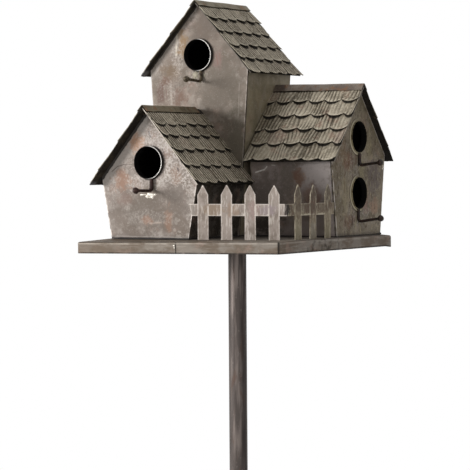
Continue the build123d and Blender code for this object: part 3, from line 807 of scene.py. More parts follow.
SLOT_HALF = 0.6 * MM          # the pressed line between neighbours
SLOT_FROM = {"front_house": 0.55, "tower": 0.55, "side_house": 0.25}    # share of the strip, and half more
GROOVES = {"front_house": 4.9, "tower": 5.1, "side_house": 4.6}    # to a shingle
GROOVE_SWING = {"front_house": 0.2, "tower": 0.2, "side_house": 0.45}    # how far grooves wander
CUSP_PRESS = 0.8 * MM         # how far a strip is pressed down where two round ends meet
CURL_SEEN = (0.45, 0.80)      # least curl of an end and the most it can gain, millimetres
CURL_FLAT = (0.10, 0.35)      # the same in the lowest row and on the other slopes
TAB_CROWN = 0.25 * MM
TAB_TWIST = 0.6 * MM
STRIP_WAVER = 0.12 * MM
TOWER_FIT = 0.3 * MM          # side house's strips off the tower's wall
ROW_STEP = 0.5 * MM
ROW_SEEDS = 10                # between the random seeds of neighbouring rows
FLAT_LIFT = 1.0 * MM          # strips on the slopes away from the yard lie flatter
SOOT_SHADE_REACH = 3.2 * MM
RIM_WIDTH = 0.9 * MM          # bright cut edge
CAP_LEG = 6.4 * MM            # ridge cap, down each slope
CAP_COVER = 1.5 * MM          # from the ridge to the first strip's upper edge


def tabs(house, row, along, seed):
    """Which shingle each place along a row is on, how far it lies off that shingle's middle, the
    shingle's five random shares, and how far its round end falls back there from the row's line."""
    tab = along / (house.rear - house.verge) * TABS + 0.5 * (row % 2)
    number = np.minimum(np.floor(tab), math.ceil(TABS) - 1).astype(int)
    shares = np.random.default_rng(seed).uniform(0, 1, (5, 8))[:, number]
    off = tab - number - 0.5
    back = TAB_ROUND * np.abs(2 * off) ** 2.3 + TAB_TRIM * shares[0]
    return tab, off, shares, back + VERGE_ROUND * part(along, VERGE_REACH, 0) ** 2


def tower_wall(height):
    """How far inwards the side house's strips may reach at a height: just short of the tower's wall."""
    return side_house.origin[0] - (tower.origin[0] + tower.foot + height * tower.lean) - TOWER_FIT


def shingle_strip(house, side, row, seed):
    """One strip of a slope. A point is given by how far it lies along the row and down the strip: the end
    falls back from each shingle's middle by a power of the distance, and the height off the roof is the
    strip's tilt, plus pressed grooves, a slot between neighbours, a crown and the curl of the end. Soot
    and painted shade lie where the strip comes out from under the ends of the one above, or from under the
    ridge cap."""
    length = house.rear - house.verge
    width = length / TABS
    along = np.linspace(0, length, round(length / ROW_STEP) + 1)[:, None]
    share = STRIP_STEPS
    to_yard = side == (-1 if house is side_house else 1)
    ends = ROW_ENDS[house.name if to_yard else "others"]
    tab, off, (_, curl, lean, depth, shift), back = tabs(house, row, along, seed)
    start = max(ends[row] * MM - ROW_LENGTH, CAP_COVER)
    above = tabs(house, row - 1, along, seed - ROW_SEEDS)
    lip = (ends[row - 1] * MM - above[3] if row else CAP_LEG) - start
    shelter = 1 - 0.95 * np.abs(2 * above[1] - 0.15) ** 3 if row else 0.45 + 0 * along
    down = share * (ends[row] * MM - start - back)
    swing = ripple(seed + 1, along / (9 * MM), down / (14 * MM))
    phase = off * GROOVES[house.name] + shift + GROOVE_SWING[house.name] * swing
    rib = np.abs(np.sin(math.pi * phase)) ** 0.55
    slot = np.exp(-((0.5 - np.abs(off)) * width / SLOT_HALF) ** 2)
    slot = slot * part(share, SLOT_FROM[house.name], SLOT_FROM[house.name] + 0.5)
    wear = 0.40 + 0.85 * depth + 0.45 * ripple(seed + 2, along / (7 * MM), down / (7 * MM))
    if house is not side_house:
        wear = 0.55 + 0.5 * wear
    relief = (1 - (1 - rib) * np.clip(wear, 0.15, 1.25)) * (1 - 0.5 * slot)
    least, gain = CURL_SEEN if to_yard and row < ROWS - 1 else CURL_FLAT
    curl = (least + gain * curl) * MM
    press = (relief - 1) * GROOVE_DEPTH + TAB_CROWN * (1 - (2 * off) ** 2)
    press = press + curl * part(share, 0.78, 1) ** 2 + TAB_TWIST * (lean - 0.5) * off * share
    press = press - CUSP_PRESS * np.abs(2 * off) ** 4 * part(share, 0.54, 0.99)
    press = press + STRIP_WAVER * ripple(seed + 3, along / (30 * MM), down / (20 * MM))
    tilt = math.asin((ROW_LIFT if to_yard else FLAT_LIFT) / ROW_LENGTH)
    faces = []
    for thick in (SHINGLE_BED + SHINGLE_SHEET, SHINGLE_BED):
        out = thick + press
        fall = start + down * math.cos(tilt) - out * math.sin(tilt)
        lift = ROOF_SHEET + down * math.sin(tilt) + out * math.cos(tilt)
        inwards = house.verge + along + 0 * fall
        if house is side_house:
            height = house.peak - fall * math.sin(house.pitch)
            wall = tower_wall(height)
            inwards = house.verge + along * np.minimum(1, (wall - house.verge) / length)
        faces.append(house.on_slope(side, fall, lift, inwards))
    layout = np.stack(np.broadcast_arrays(tab + 9 * row, share), -1).reshape(-1, 2)
    # Soot and painted shade: a dark band cast below the ends of the strip above, strongest under their
    # middles.
    soot_and_shade = part(down - lip, SOOT_SHADE_REACH * shelter, 0) * np.clip(1.6 * shelter, 0, 1)
    rim = part(np.minimum(along, length - along), RIM_WIDTH, 0)
    marks = [np.tile(np.broadcast_to(values, relief.shape).ravel(), 2)
             for values in (relief, soot_and_shade, shift, rim)]
    return plate(*faces), np.concatenate([layout, layout]), marks


SHINGLE_OLIVE = rgb(144, 134, 116)
SHINGLE_DARK = rgb(112, 103, 87)
SHINGLE_GROOVE = rgb(38, 32, 24)
SHINGLE_LIP = rgb(192, 182, 162)
SHINGLE_RUST = rgb(134, 108, 92)
SHINGLE_BROWN = rgb(94, 85, 70)
SHINGLE_PALE = rgb(158, 148, 130)
SHINGLE_PINK = rgb(138, 114, 105)
SHINGLE_SOOT_SHADE = rgb(22, 18, 14)
SHINGLE_MARKS = ("relief", "soot_and_shade", "tone", "rim")


def shingle_finish(house, seed, rust):
    """Dull olive sheet: black in the grooves, black with soot and painted shade under the ends of the strip
    above, paler on the ribs and along the worn ends, rusty in patches."""
    finish = Finish(house.name + "_shingle_sheet", SHINGLE_OLIVE, 0.62, 0.1)
    layout = finish.flow.node("UVMap", uv_map="sheet")
    share = finish.flow.node("SeparateXYZ", {0: layout}, output=1)
    relief, soot_and_shade, tone, rim = (finish.mark(name) for name in SHINGLE_MARKS)
    fine = house is not side_house
    finish.cloud(20, seed, 0.42, 0.60, SHINGLE_DARK, 0.72)
    finish.coat(tone.ramp(0.55, 0.85) * 0.6, SHINGLE_BROWN, 0.75)
    finish.coat(tone.ramp(0.30, 0.10) * 0.5, SHINGLE_PALE, 0.6)
    finish.coat(tone.ramp(0.36, 0.44) * tone.ramp(0.62, 0.52) * rust * 0.7, SHINGLE_PINK, 0.7)
    finish.cloud(15, seed + 1, 0.56, 0.68, SHINGLE_RUST, 0.8, 0.0, strength=rust, detail=5)
    ribs = relief.ramp(0.82, 1.0) * finish.noise(3 * MM, seed + 2, 4).ramp(0.35, 0.60)
    finish.coat(ribs * (0.85 if fine else 0.55), SHINGLE_LIP, 0.55)
    grains = finish.noise(2.2 * MM, seed + 6, 5, roughness=0.7).ramp(0.54, 0.68)
    finish.coat(grains * 0.45, SHINGLE_LIP, 0.55)
    worn_end = share.ramp(0.86, 0.96) * finish.noise(5 * MM, seed + 3, 4).ramp(0.34, 0.58)
    finish.coat(worn_end * 0.6, SHINGLE_LIP, 0.5)
    broken = finish.noise(3.5 * MM, seed + 7, 5).ramp(0.34, 0.60) * 0.6 + 0.4
    groove = relief.ramp(0.86, 0.40) * 0.95 if fine else relief.ramp(0.72, 0.25) * broken * 0.9
    finish.coat(groove, SHINGLE_GROOVE, 0.85, 0.0)
    finish.coat(rim * (broken * 0.8), SHINGLE_LIP, 0.5)
    finish.cloud(1.8, seed + 4, 0.60, 0.72, SHINGLE_GROOVE, 0.85, 0.0, strength=0.6)
    # Soot and painted shade below the ends of the strip above.
    finish.coat(soot_and_shade.ramp(0.10, 0.60) * 0.95, SHINGLE_SOOT_SHADE, 0.9, 0.0)
    finish.height = finish.noise(0.8 * MM, seed + 5, 3) * (0.10 * MM)
    return finish.shader(0.25)


for order, (house, rust) in enumerate(((front_house, 0.35), (tower, 0.1), (side_house, 0.7))):
    finish = shingle_finish(house, 140 + 10 * order, rust)
    for side, where in ((1, "right"), (-1, "left")):
        seeds = 1000 + 100 * order + ROW_SEEDS * np.arange(ROWS) + side
        shells, layouts, marks = zip(*(shingle_strip(house, side, row, seeds[row]) for row in range(ROWS)))
        make_piece(f"{house.name}_shingle_strips_{where}", shells, finish,
                   [f"{house.name}_shingles_{where}"], layouts, dict(zip(SHINGLE_MARKS, zip(*marks))))


# The ridge caps. A narrow strip of sheet is bent over each ridge, on top of the first shingles; the bend
# is round, the legs spread a little at their lower edges, and rust shows through the brown.
CAP_SHEET = 0.8 * MM
CAP_STANDOFF = 2.16 * MM      # cap's underside above the roof's underside
CAP_BEND = 1.3 * MM
CAP_WAVER = 0.2 * MM
CAP_RAGGED = 0.035            # share by which a leg's reach varies
CAP_STEP = 1.5 * MM
CAP_RISE = {"front_house": 0.0, "tower": 0.0, "side_house": 1.3 * MM}     # at its rear end
CAP_SHORT = {"front_house": 8.0 * MM, "tower": 0.0, "side_house": 0.0}    # of the roof's rear end
CAP_TURN = {"front_house": 0.2, "tower": 0.35, "side_house": -0.45}       # lower edges outwards, millimetres
CAP_RUST = rgb(118, 86, 62)
CAP_PALE = rgb(150, 140, 122)
CAP_DIRT = rgb(52, 44, 34)
CAP_TONES = {
    "front_house": (rgb(108, 98, 79), rgb(82, 73, 56)),
    "tower": (rgb(112, 103, 86), rgb(92, 84, 68)),
    "side_house": (rgb(110, 99, 88), rgb(94, 82, 74))}


def ridge_cap(house, seed):
    """Folded strip. Across the ridge its height falls as a hyperbola, round at the top and straight down
    the legs, with a slow waver along the ridge; the lower edges turn out by a high power of the width."""
    length = house.rear - house.verge - CAP_SHORT[house.name]
    along = np.linspace(0, length, round(length / CAP_STEP) + 1)[:, None]
    share = np.linspace(-1, 1, 27)[None]
    grids = []
    for lift, bend in ((CAP_STANDOFF + CAP_SHEET, CAP_BEND), (CAP_STANDOFF, CAP_BEND - CAP_SHEET * 0.7)):
        edge = CAP_LEG * math.cos(house.pitch) + lift * math.sin(house.pitch)
        edge = edge * (1 + CAP_RAGGED * ripple(seed + 1, along / (6 * MM), np.sign(share) * 2))
        across = share * edge
        crown = house.peak + lift / math.cos(house.pitch) - bend
        fall = np.sqrt((across * math.tan(house.pitch)) ** 2 + bend ** 2) - bend
        height = crown - fall + CAP_TURN[house.name] * MM * share ** 8
        height = height + CAP_WAVER * ripple(seed, along / (16 * MM), 0 * share)
        height = height + CAP_RISE[house.name] * (along / length) ** 2
        inwards = house.verge + along + 0 * across
        if house is side_house:
            wall = tower_wall(house.peak)
            inwards = house.verge + along * np.minimum(1, (wall - house.verge) / length) + 0 * across
        grids.append(house.put(across, inwards, height))
    return plate(*grids)


for order, house in enumerate((front_house, tower, side_house)):
    first, second = CAP_TONES[house.name]
    cap = Finish(house.name + "_cap_sheet", first, 0.6, 0.2)
    cap.cloud(14, 170 + order, 0.45, 0.62, second, 0.7, detail=5)
    cap.cloud(9, 173 + order, 0.54, 0.68, CAP_RUST, 0.8, 0.0, strength=0.8, detail=5)
    cap.cloud(3, 176 + order, 0.60, 0.74, CAP_PALE, 0.5, strength=0.6)
    cap.cloud(1.8, 182 + order, 0.54, 0.66, CAP_DIRT, 0.8, strength=0.6, detail=5, roughness=0.7)
    cap.height = cap.noise(1.0 * MM, 179, 3) * (0.06 * MM) + cap.noise(18 * MM, 180 + order, 2) * (0.5 * MM)
    make_piece(house.name + "_ridge_strip", [ridge_cap(house, 300 + order)], cap.shader(),
               [house.name + "_ridge_cap"])


# The doorways. A short tube is soldered through each front panel. Its mouth is filed smooth and has a
# painted highlight where the light catches it, the tube is brown with rust and painted shade elsewhere,
# and its bore is painted black as shade.
HOLE_RADIUS = 16.0 * MM
COLLAR_SHEET = 0.8 * MM
COLLAR_PROUD = 3.0 * MM
COLLAR_INSIDE = 5.0 * MM      # from the front panel's face to the tube's inner end
MOUTH_FLARE = 0.25 * MM
SIDE_PROUD = 1.4 * MM         # the side house's tubes are driven further in
MOUTH_WAVE = 0.16 * MM
MOUTH_DENT = 0.18 * MM
SIDE_TONES = rgb(150, 140, 114), rgb(96, 84, 66)
# The front house's and the tower's tubes: dark brown rust, darkened further as painted shade of their outer
# sides.
TUBE_RUST_AND_SHADE_TONES = rgb(34, 28, 23), rgb(26, 21, 17)
TUBE_MOUTH_SHADE = rgb(34, 27, 23)
TUBE_PAINTED_HIGHLIGHT = rgb(236, 232, 226)
TUBE_GLINT = rgb(236, 238, 242)
BORE_PAINTED_SHADE = rgb(7, 6, 5)
DOORWAYS = {                  # the house and how high over the tray its middle is
    "front_house_collar": (front_house, 78.0 * MM),
    "tower_collar": (tower, 191.0 * MM),
    "side_house_collar_upper": (side_house, 103.2 * MM),
    "side_house_collar_lower": (side_house, 44.7 * MM)}


def doorway_ring(house, height, stands, seed):
    """Turned ring: a closed section of the tube's wall, rounded at its mouth, carried round the hole, with
    the mouth a little out of true by a slow wave round it."""
    inner, outer = HOLE_RADIUS, HOLE_RADIUS + COLLAR_SHEET
    turn = np.linspace(0, 2 * math.pi, 97)[:-1, None]
    mouth = np.linspace(0, math.pi, 7)
    middle, half = (inner + outer) / 2, COLLAR_SHEET / 2
    radius = np.concatenate([[inner, inner], middle - half * np.cos(mouth), [outer, outer, outer]])[None]
    proud = np.concatenate([[-COLLAR_INSIDE, 0.4 * stands], stands - half + half * np.sin(mouth),
                            [0.7 * stands, 0.4 * stands, -COLLAR_INSIDE]])[None]
    slack = part(proud, 0, stands)
    out_of_round = ripple(seed, np.cos(turn) * 1.5, np.sin(turn) * 1.5)
    radius = radius + slack ** 3 * MOUTH_FLARE + slack * MOUTH_WAVE * out_of_round
    proud = proud + slack * MOUTH_DENT * (ripple(seed + 1, np.cos(turn) * 1.3, np.sin(turn) * 1.3) - 1)
    points = house.put(radius * np.cos(turn), -proud, height + radius * np.sin(turn))
    count = points.shape[1]
    around = lattice(len(turn), count, wrap=True)
    seam = np.arange(count)
    last = (len(turn) - 1) * count + seam
    closing = np.stack([last, seam, np.roll(seam, -1), np.roll(last, -1)], -1)
    return points.reshape(-1, 3), [np.concatenate([around, closing])]


for order, (node, (house, height)) in enumerate(DOORWAYS.items()):
    to_the_side = house is side_house
    stands = SIDE_PROUD if to_the_side else COLLAR_PROUD
    first, second = SIDE_TONES if to_the_side else TUBE_RUST_AND_SHADE_TONES
    ring = Finish(node + "_tube", first, 0.5, 0.3)
    across, depth, upright = house.measures(ring)
    out = depth * -1
    upright = upright - height
    bore = (across * across + upright * upright).math("SQRT") - HOLE_RADIUS
    ring.cloud(4, 190 + order, 0.48, 0.62, second, 0.7)
    if to_the_side:
        # Painted shade on the mouth's inner edge.
        ring.coat(bore.ramp(0.42 * MM, 0.30 * MM), TUBE_MOUTH_SHADE, 0.6)
    else:
        # Painted highlight on the mouth's right-hand side.
        lit_side = across.ramp(-4 * MM, 8 * MM)
        ring.coat((out - stands * 0.6).ramp(0, 0.25 * stands) * lit_side, TUBE_PAINTED_HIGHLIGHT, 0.3, 0.2)
    # Painted shade: the bore is black inside the mouth.
    ring.coat(bore.ramp(0.62 * MM, 0.42 * MM) * out.ramp(0.95 * stands, 0.85 * stands), BORE_PAINTED_SHADE, 0.9, 0.0)
    if house is tower:
        flat = ring.flow.node("CombineXYZ", {0: across, 1: out})
        glint = ring.blot(flat, (-3.6, -2.0), (1.3, 1.4), ring.noise(1 * MM, 196, 3) - 0.5)
        ring.coat(glint * upright.ramp(0, -2 * MM), TUBE_GLINT, 0.3)
    ring.height = ring.noise(1.2 * MM, 194, 3) * (0.05 * MM)
    make_piece(node + "_ring", [doorway_ring(house, height, stands, 400 + 7 * order)], ring.shader(0.1),
               [node])


# The perches. Each is one bent wire with its foot soldered under the doorway: straight down, round a
# tight bend and straight out to a hammered ball. The wire is rusty brown, the tower's is dull olive.
PERCH_WIRE = 1.5 * MM         # radius
PERCH_GAP = 0.05 * MM
PERCH_REACH = 28.0 * MM
PERCH_BEND = 3.5 * MM
PERCH_BALL = 3.3 * MM         # radius
FALL_RINGS, BEND_RINGS, REACH_RINGS, BALL_RINGS = 7, 7, 11, 15
WIRE_DENT = 0.06              # share of its radius
WIRE_WAVER = 0.25 * MM
LUMP_RING, LUMP_SPREAD = 8, 3.5           # rings: where the swelling at the bend is and how wide
THICK_SPREAD = 6.0                        # rings over which the swelling at the top fades
WIRE_SPECK = rgb(140, 116, 96)


def perch(house, height, aside, swing, rise, short, lump, drop, thick, seed):
    """Wire carried along its path: down by drop from the doorway's tube, a quarter circle, and out. Its
    radius is the wire's, swollen at the bend by lump and at the top by thick, then the circle of the ball
    about the wire's end, and both are a little dented. It hangs off the doorway's middle by aside; towards
    the ball it drifts sideways by swing and up by rise, in proportion to how far out it is, and it ends
    short of its full reach."""
    ring = HOLE_RADIUS + COLLAR_SHEET + PERCH_GAP
    top = height - math.sqrt(ring ** 2 - aside ** 2)
    near = -(PERCH_WIRE + PERCH_GAP)
    low = height - ring - drop
    tip = PERCH_REACH - short
    fall = np.linspace(top, low + PERCH_BEND, FALL_RINGS)
    bend = np.linspace(0, math.pi / 2, BEND_RINGS + 2)[1:-1]
    reach = np.linspace(near - PERCH_BEND, PERCH_BALL * 0.9 - tip, REACH_RINGS + 1)[:-1]
    ball = -tip + PERCH_BALL * np.cos(np.linspace(0.16, 0.97, BALL_RINGS) * math.pi)
    out = np.concatenate([np.full(FALL_RINGS, near), near - PERCH_BEND + PERCH_BEND * np.cos(bend),
                          reach, ball])
    down = np.concatenate([fall, low + PERCH_BEND - PERCH_BEND * np.sin(bend),
                           np.full(REACH_RINGS + BALL_RINGS, low)])
    radius = np.concatenate([np.full(len(out) - BALL_RINGS, PERCH_WIRE),
                             np.sqrt(np.maximum(PERCH_BALL ** 2 - (ball + tip) ** 2, 0))])
    far = part(-out, PERCH_BEND, tip)
    path = np.stack([out, down + rise * far], -1)
    tangent = np.gradient(path, axis=0)
    tangent /= np.linalg.norm(tangent, axis=1, keepdims=True)
    turn = np.linspace(0, 2 * math.pi, 25)[None, :-1]
    step = np.arange(len(out))[:, None]
    dents = ripple(seed, np.cos(turn) * 1.4, np.sin(turn) * 1.4, step / 3.0)
    swollen = lump * np.exp(-((step - LUMP_RING) / LUMP_SPREAD) ** 2)
    swollen = 1 + swollen + thick * np.exp(-(step / THICK_SPREAD) ** 2)
    radius = radius[:, None] * (1 + WIRE_DENT * dents) * swollen
    across = aside + far[:, None] * (swing + WIRE_WAVER * ripple(seed + 1, step / 9.0))
    side, lift = radius * np.cos(turn), radius * np.sin(turn)
    inwards, height = path[:, :1] - lift * tangent[:, 1:], path[:, 1:] + lift * tangent[:, :1]
    return tube(house.put(across + side, inwards, height))


def perch_finish(name, colour, rust, seed):
    """Dark wire, rusty in patches and scuffed at small spots."""
    wire = Finish(name, colour, 0.5, 0.35)
    wire.cloud(3, seed, 0.45, 0.62, rust, 0.75, 0.05)
    wire.cloud(1.2, seed + 1, 0.62, 0.74, WIRE_SPECK, 0.45, strength=0.7)
    wire.height = wire.noise(0.9 * MM, seed + 2, 3) * (0.14 * MM)
    return wire.shader()


perch_paint = {
    "front_house": perch_finish("rusty_wire", rgb(50, 31, 26), rgb(36, 20, 16), 210),
    "tower": perch_finish("olive_wire", rgb(84, 74, 58), rgb(50, 40, 30), 220),
    "side_house": perch_finish("dark_wire", rgb(36, 29, 24), rgb(52, 34, 28), 225)}
PERCHES = {                   # aside, swing, rise, short, lump, drop and thick, lengths in millimetres
    "front_house_collar": (3.6, -1.6, 0.5, 0.0, 0.35, 12.0, 0.40),
    "tower_collar": (3.6, -1.2, 1.6, 0.0, 0.30, 11.0, 0.10),
    "side_house_collar_upper": (-0.6, -2.0, 2.6, 1.5, 0.15, 12.5, 0.10),
    "side_house_collar_lower": (-3.4, -0.5, 3.2, 0.5, 0.05, 12.5, 0.0)}
for order, (node, (house, height)) in enumerate(DOORWAYS.items()):
    aside, swing, rise, short, lump, drop, thick = PERCHES[node]
    node = node.replace("collar", "perch")
    wire = perch(house, height, aside * MM, swing * MM, rise * MM, short * MM, lump, drop * MM, thick,
                 430 + 5 * order)
    make_piece(node + "_wire", [wire], perch_paint[house.name], [node])


# The solder. A bright splash holds the front house's perch, a small plate of it sits under the tower's
# doorway, dull dabs hold the side house's perches, and spots of it close the tray's lap and a corner.
SOLDER_DIRT = rgb(104, 84, 68)
PUDDLE_RINGS = np.array([0.12, 0.35, 0.6, 0.8, 0.93, 1.0, 1.0])[:, None]     # shares of the radius
PUDDLE_WAVE = 0.22            # share of its radius
PUDDLE_LUMPS = 0.25           # share of its thickness
PUDDLE_SINK = 0.05 * MM       # its rim into the sheet


def puddle(put, across, height, half_across, half_height, thick, seed):
    """Low dome on an upright face that put lays out: rings grow from its middle to a wavy outline while the
    thickness falls by a power of what is left, and the last ring lies just inside the sheet."""
    share = PUDDLE_RINGS
    turn = np.linspace(0, 2 * math.pi, 49)[None, :-1]
    wavy = 1 + PUDDLE_WAVE * ripple(seed, np.cos(turn) * 2.4, np.sin(turn) * 2.4)
    lumps = 1 + PUDDLE_LUMPS * ripple(seed + 1, share * np.cos(turn) * 3, share * np.sin(turn) * 3)
    rise = thick * MM * (1 - share ** 2) ** 0.72 * lumps
    rise[-1] = -PUDDLE_SINK
    return tube(put(across * MM + half_across * MM * share * wavy * np.cos(turn), -rise,
                    height * MM + half_height * MM * share * wavy * np.sin(turn)))


def on_the_lip(across, inwards, height):
    """Points on the tray's front lip."""
    across, inwards, height = np.broadcast_arrays(across, inwards, height)
    return np.stack([across, inwards - TRAY_HALF - LAP_SHEET * (across < LAP[1]), DECK + height], -1)


def solder_finish(name, bright, dull, seed, rough=0.4):
    """Lumpy metal, duller in patches, with dirt in small spots."""
    metal = Finish(name, bright, rough, 0.3)
    metal.cloud(3, seed, 0.50, 0.66, dull, 0.6, 0.1, strength=0.6)
    metal.cloud(1.4, seed + 1, 0.64, 0.74, SOLDER_DIRT, 0.8, 0.0, strength=0.7)
    metal.height = metal.noise(1.6 * MM, seed + 2, 3) * (0.4 * MM)
    return metal.shader(0.5)


bright_solder = solder_finish("bright_solder", rgb(222, 214, 202), rgb(172, 158, 146), 230)
plain_solder = solder_finish("plain_solder", rgb(150, 143, 126), rgb(116, 107, 90), 234, 0.62)
black_solder = solder_finish("black_solder", rgb(36, 31, 26), rgb(52, 44, 36), 238)
for name, put, finish, slot, dabs in (
        ("front_house_perch_solder", front_house.put, bright_solder, "perch_wire", (
            (1.6, 45.0, 5.2, 2.0, 0.9), (-7.2, 45.0, 4.2, 0.8, 0.4), (3.6, 43.0, 2.0, 1.9, 0.7),
            (-2.2, 43.2, 2.4, 1.7, 0.7), (6.6, 45.2, 2.2, 1.0, 0.5), (1.0, 42.4, 1.3, 1.0, 0.5))),
        ("tower_perch_solder", tower.put, plain_solder, "perch_wire", (
            (-3.6, 169.6, 3.9, 3.9, 0.8), (6.6, 169.4, 1.8, 2.6, 0.5), (1.2, 162.6, 2.4, 1.4, 0.8))),
        ("side_house_perch_solder_upper", side_house.put, black_solder, "perch_wire", (
            (0, 73.8, 1.9, 1.5, 0.8),)),
        ("side_house_perch_solder_lower", side_house.put, black_solder, "perch_wire", (
            (0, 15.4, 1.9, 1.5, 0.8),)),
        ("side_house_corner_solder", side_house.put, bright_solder, "wall_sheet", (
            (55.5, 72.0, 0.9, 1.9, 0.7), (54.6, 69.8, 1.1, 0.8, 0.5))),
        ("side_house_foot_solder", side_house.put, black_solder, "wall_sheet", (
            (47.2, 1.2, 1.7, 1.3, 1.6),)),
        ("tray_lap_solder", on_the_lip, bright_solder, "tray_sheet", (
            (-0.9, -5.4, 1.3, 0.9, 0.5), (-0.6, -7.4, 0.6, 0.9, 0.3)))):
    shells = [puddle(put, *dab, 450 + 9 * number + len(name)) for number, dab in enumerate(dabs)]
    make_piece(name, shells, finish)


# The picket fence. Two strips of sheet are cut out as pointed pickets on one rail: the front one is bent
# at its end and soldered on the front house, the side one starts behind its far end.
RAIL_LOW, RAIL_HIGH = 24.0 * MM, 36.0 * MM
PICKET_HALF = 5.8 * MM
PICKET_SHOULDER, PICKET_TIP = 45.0 * MM, 55.0 * MM
FENCE_SHEET = 1.0 * MM
FENCE_TAB = 4.5 * MM
FENCE_CORNER = np.array([107.0, -82.0]) * MM
FENCE_END = np.array([110.0, 7.56]) * MM
FENCE_FIT = 0.1 * MM
PICKET_TAPER = 0.94           # share of its width that a picket loses towards the tip
PICKET_UNEVEN = 0.07          # share by which a picket's ends may be wider or narrower
PICKET_SWAY = 0.5 * MM        # most that a tip stands aside, falls short and leans
PICKET_SHORT = 0.7 * MM
PICKET_LEAN = 0.7 * MM
FENCE_WAVER = 0.12 * MM
TAB_SPREAD = (0.25, 0.95)     # share of the tab's length at the rail's lower edge, and what its top adds
FENCE_DIRT = rgb(104, 88, 74)
front_start = np.array([front_house.origin[0] + front_house.foot + RAIL_HIGH * front_house.lean,
                        front_house.origin[1]])


def cut_sheet(front, behind, quads):
    """Closed shell of a sheet with cut-outs: its kept quads in front and behind, and a wall along every
    edge that only one kept quad has."""
    count = len(front)
    edges = np.concatenate([quads[:, [i, (i + 1) % 4]] for i in range(4)])
    code = edges.min(1) * count + edges.max(1)
    _, first, times = np.unique(code, return_index=True, return_counts=True)
    rim = edges[first[times == 1]]
    walls = np.stack([rim[:, 1], rim[:, 0], rim[:, 0] + count, rim[:, 1] + count], -1)
    faces = np.concatenate([quads, quads[:, ::-1] + count, walls])
    used, compact = np.unique(faces, return_inverse=True)
    return np.concatenate([front, behind])[used], [compact.reshape(-1, 4)], used


def picket_strip(start, end, count, ends, tab, seed):
    """Sheet on a grid: along the strip by height. Over the shoulders each picket narrows to its tip, every
    picket leans by the square of its height, and the tab at the strip's start is bent back."""
    rng = np.random.default_rng(seed)
    length = float(np.linalg.norm(end - start))
    run = (end - start) / length
    centres = ends[0] + np.arange(count) * (length - sum(ends)) / (count - 1)
    stops = [-tab] if tab else []
    stops += [0.0] + [edge for centre in centres for edge in (centre - PICKET_HALF, centre + PICKET_HALF)]
    stops += [length]
    along = np.concatenate([np.linspace(a, b, 7)[:-1] for a, b in zip(stops[:-1], stops[1:])] + [[length]])
    levels = ((0, RAIL_LOW, 9), (RAIL_LOW, RAIL_HIGH, 6), (RAIL_HIGH, PICKET_SHOULDER, 4))
    heights = np.concatenate([np.linspace(a, b, steps)[:-1] for a, b, steps in levels]
                             + [np.linspace(PICKET_SHOULDER, PICKET_TIP, 7)])
    s, z = np.meshgrid(along, heights, indexing="ij")
    nearest = np.abs(s[..., None] - centres).argmin(-1)
    middle = centres[nearest]
    over, above = part(z, PICKET_SHOULDER, PICKET_TIP), part(z, RAIL_HIGH, PICKET_TIP)
    grow = rng.uniform(-PICKET_UNEVEN, PICKET_UNEVEN, count)[nearest]
    inside = np.abs(s - middle) <= PICKET_HALF * 1.001
    wide = (s - middle) * (1 - PICKET_TAPER * over) * (1 + grow * (above + part(z, RAIL_LOW, 0)))
    sway = rng.uniform(-PICKET_SWAY, PICKET_SWAY, count)[nearest] * above
    across = np.where(inside, middle + wide + sway, s)
    spread = TAB_SPREAD[0] + TAB_SPREAD[1] * part(z, RAIL_LOW, RAIL_HIGH)
    across = np.where(s < 0, s * spread, across)
    tall = z - rng.uniform(0, PICKET_SHORT, count)[nearest] * over
    lean = rng.uniform(-PICKET_LEAN, PICKET_LEAN, count)[nearest] * (z / PICKET_TIP) ** 2 * (z > RAIL_HIGH)
    lean = np.abs(lean) + FENCE_WAVER * (1 + ripple(seed + 1, s / (12 * MM), z / (15 * MM)))
    bent = (across < 0)[..., None]
    plan = start + across[..., None] * np.where(bent, (1.0, 0.0), run)
    facing = np.where(bent, (0.0, -1.0), (run[1], -run[0]))
    grids = []
    for depth in (FENCE_SHEET, 0.0):
        flat = plan + facing * (depth + lean)[..., None]
        grids.append(np.concatenate([flat, (DECK + tall)[..., None]], -1).reshape(-1, 3))
    quads = lattice(*s.shape)
    middle_s = (along[:-1] + along[1:]) / 2
    middle_z = (heights[:-1] + heights[1:]) / 2
    on_picket = (np.abs(middle_s[:, None] - centres[None]) < PICKET_HALF).any(1)
    on_rail = (middle_z > RAIL_LOW) & (middle_z < RAIL_HIGH)
    keep = (on_picket[:, None] | on_rail[None]).ravel()
    points, faces, used = cut_sheet(*grids, quads[keep])
    rail_edge = np.minimum(np.abs(z - RAIL_LOW), np.abs(z - RAIL_HIGH)) < 0.1 * MM
    edge = np.where(inside, np.abs(s - middle) / PICKET_HALF, rail_edge)
    edge = np.maximum(edge ** 3, over ** 2).ravel()
    return (points, faces), np.concatenate([edge, edge])[used]


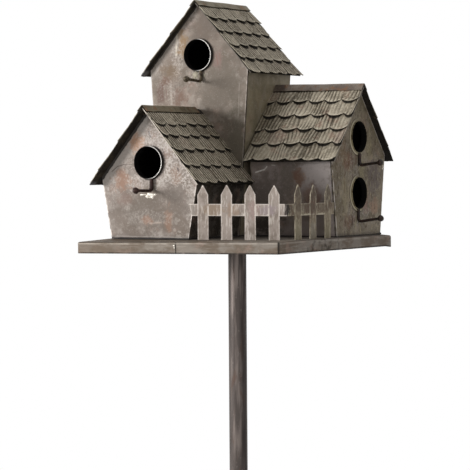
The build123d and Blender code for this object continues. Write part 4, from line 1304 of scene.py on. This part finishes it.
def fence_finish(name, tones, marks, rubs, seed):
    """Pale sheet in two tones, rubbed to the third along its cut edges as rubs says. Each mark is (x or y,
    height, half width, half height, colour, strength) in millimetres along the strip's own axis."""
    first, second, bright = (rgb(*tone) for tone in tones)
    finish = Finish(name, first, 0.5, 0.2)
    finish.cloud(14, seed, 0.44, 0.62, second, 0.62, detail=5)
    run = finish.x if name.endswith("front") else finish.y
    ragged = finish.noise(4 * MM, seed + 1, 5) - 0.5
    flat = finish.flow.node("CombineXYZ", {0: run, 1: finish.z - DECK})
    for x, z, half_x, half_z, colour, strength in marks:
        finish.coat(finish.blot(flat, (x, z), (half_x, half_z), ragged) * strength, rgb(*colour), 0.7, 0.05)
    drawn = {"strength": 0.5, "detail": 5, "roughness": 0.65}
    finish.cloud(2.6, seed + 6, 0.50, 0.64, bright, 0.45, stretch=(1, 1, 5), **drawn)
    finish.cloud(2.4, seed + 7, 0.54, 0.68, second, 0.7, stretch=(1, 1, 3), **drawn)
    finish.cloud(1.6, seed + 2, 0.62, 0.72, FENCE_DIRT, 0.75, strength=0.7, detail=5)
    broken = finish.noise(5 * MM, seed + 3, 4).ramp(0.30, 0.55)
    finish.coat(finish.mark("edge").ramp(0.45, 0.95) * broken * rubs, bright, 0.35, 0.3)
    finish.height = (finish.noise(16 * MM, seed + 4, 2) * (0.5 * MM)
                     + finish.noise(0.9 * MM, seed + 5, 3) * (0.04 * MM))
    return finish.shader()


front_paint = fence_finish("fence_sheet_front", ((154, 142, 133), (134, 122, 112), (214, 204, 194)), (
    (28, 30, 12, 7, (140, 121, 102), 0.8), (50, 30, 8, 9, (158, 136, 118), 0.7),
    (73, 30, 7, 12, (160, 138, 132), 0.7), (88, 30, 9, 7, (156, 142, 142), 0.8),
    # (106, 31) is a painted shadow in the gap at the fence's corner.
    (4, 30, 7, 10, (146, 137, 128), 0.8), (106, 31, 1.5, 8, (44, 34, 30), 0.9)), 0.75, 240)
side_paint = fence_finish("fence_sheet_side", ((128, 114, 94), (104, 88, 72), (198, 188, 164)), (
    (-35, 36, 18, 16, (104, 78, 66), 0.8), (-64, 8, 10, 14, (160, 150, 126), 0.8),
    (-33, 6, 7, 12, (150, 142, 128), 0.7), (-4, 6, 8, 12, (150, 140, 116), 0.8),
    (-30, 48, 60, 14, (88, 77, 66), 0.75), (-40, 32, 40, 6, (96, 84, 72), 0.6),
    # The two marks at height 24.6 are painted highlights along the rail's lower edge.
    (-44, 24.6, 14, 1.2, (206, 196, 174), 0.8), (-18, 24.6, 9, 1.2, (206, 196, 174), 0.8),
    # (-80, 31) is a painted shadow behind the front strip's end.
    (-80, 31, 4, 8, (26, 20, 16), 0.95)), 0.4, 250)
side_start = FENCE_CORNER + (-FENCE_SHEET, FENCE_FIT)
for name, start, end, count, ends, tab, paint, seed in (
        ("front", front_start, FENCE_CORNER, 4, (10.5 * MM, 13.2 * MM), FENCE_TAB, front_paint, 500),
        ("side", side_start, FENCE_END, 3, (21.0 * MM, 11.6 * MM), 0.0, side_paint, 510)):
    strip, edge = picket_strip(start, end, count, ends, tab, seed)
    make_piece("picket_strip_" + name, [strip], paint, ["fence_" + name],
               marks={"edge": [edge]})


size = {"cad": cad_box, "visual": [list(corner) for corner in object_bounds()]}
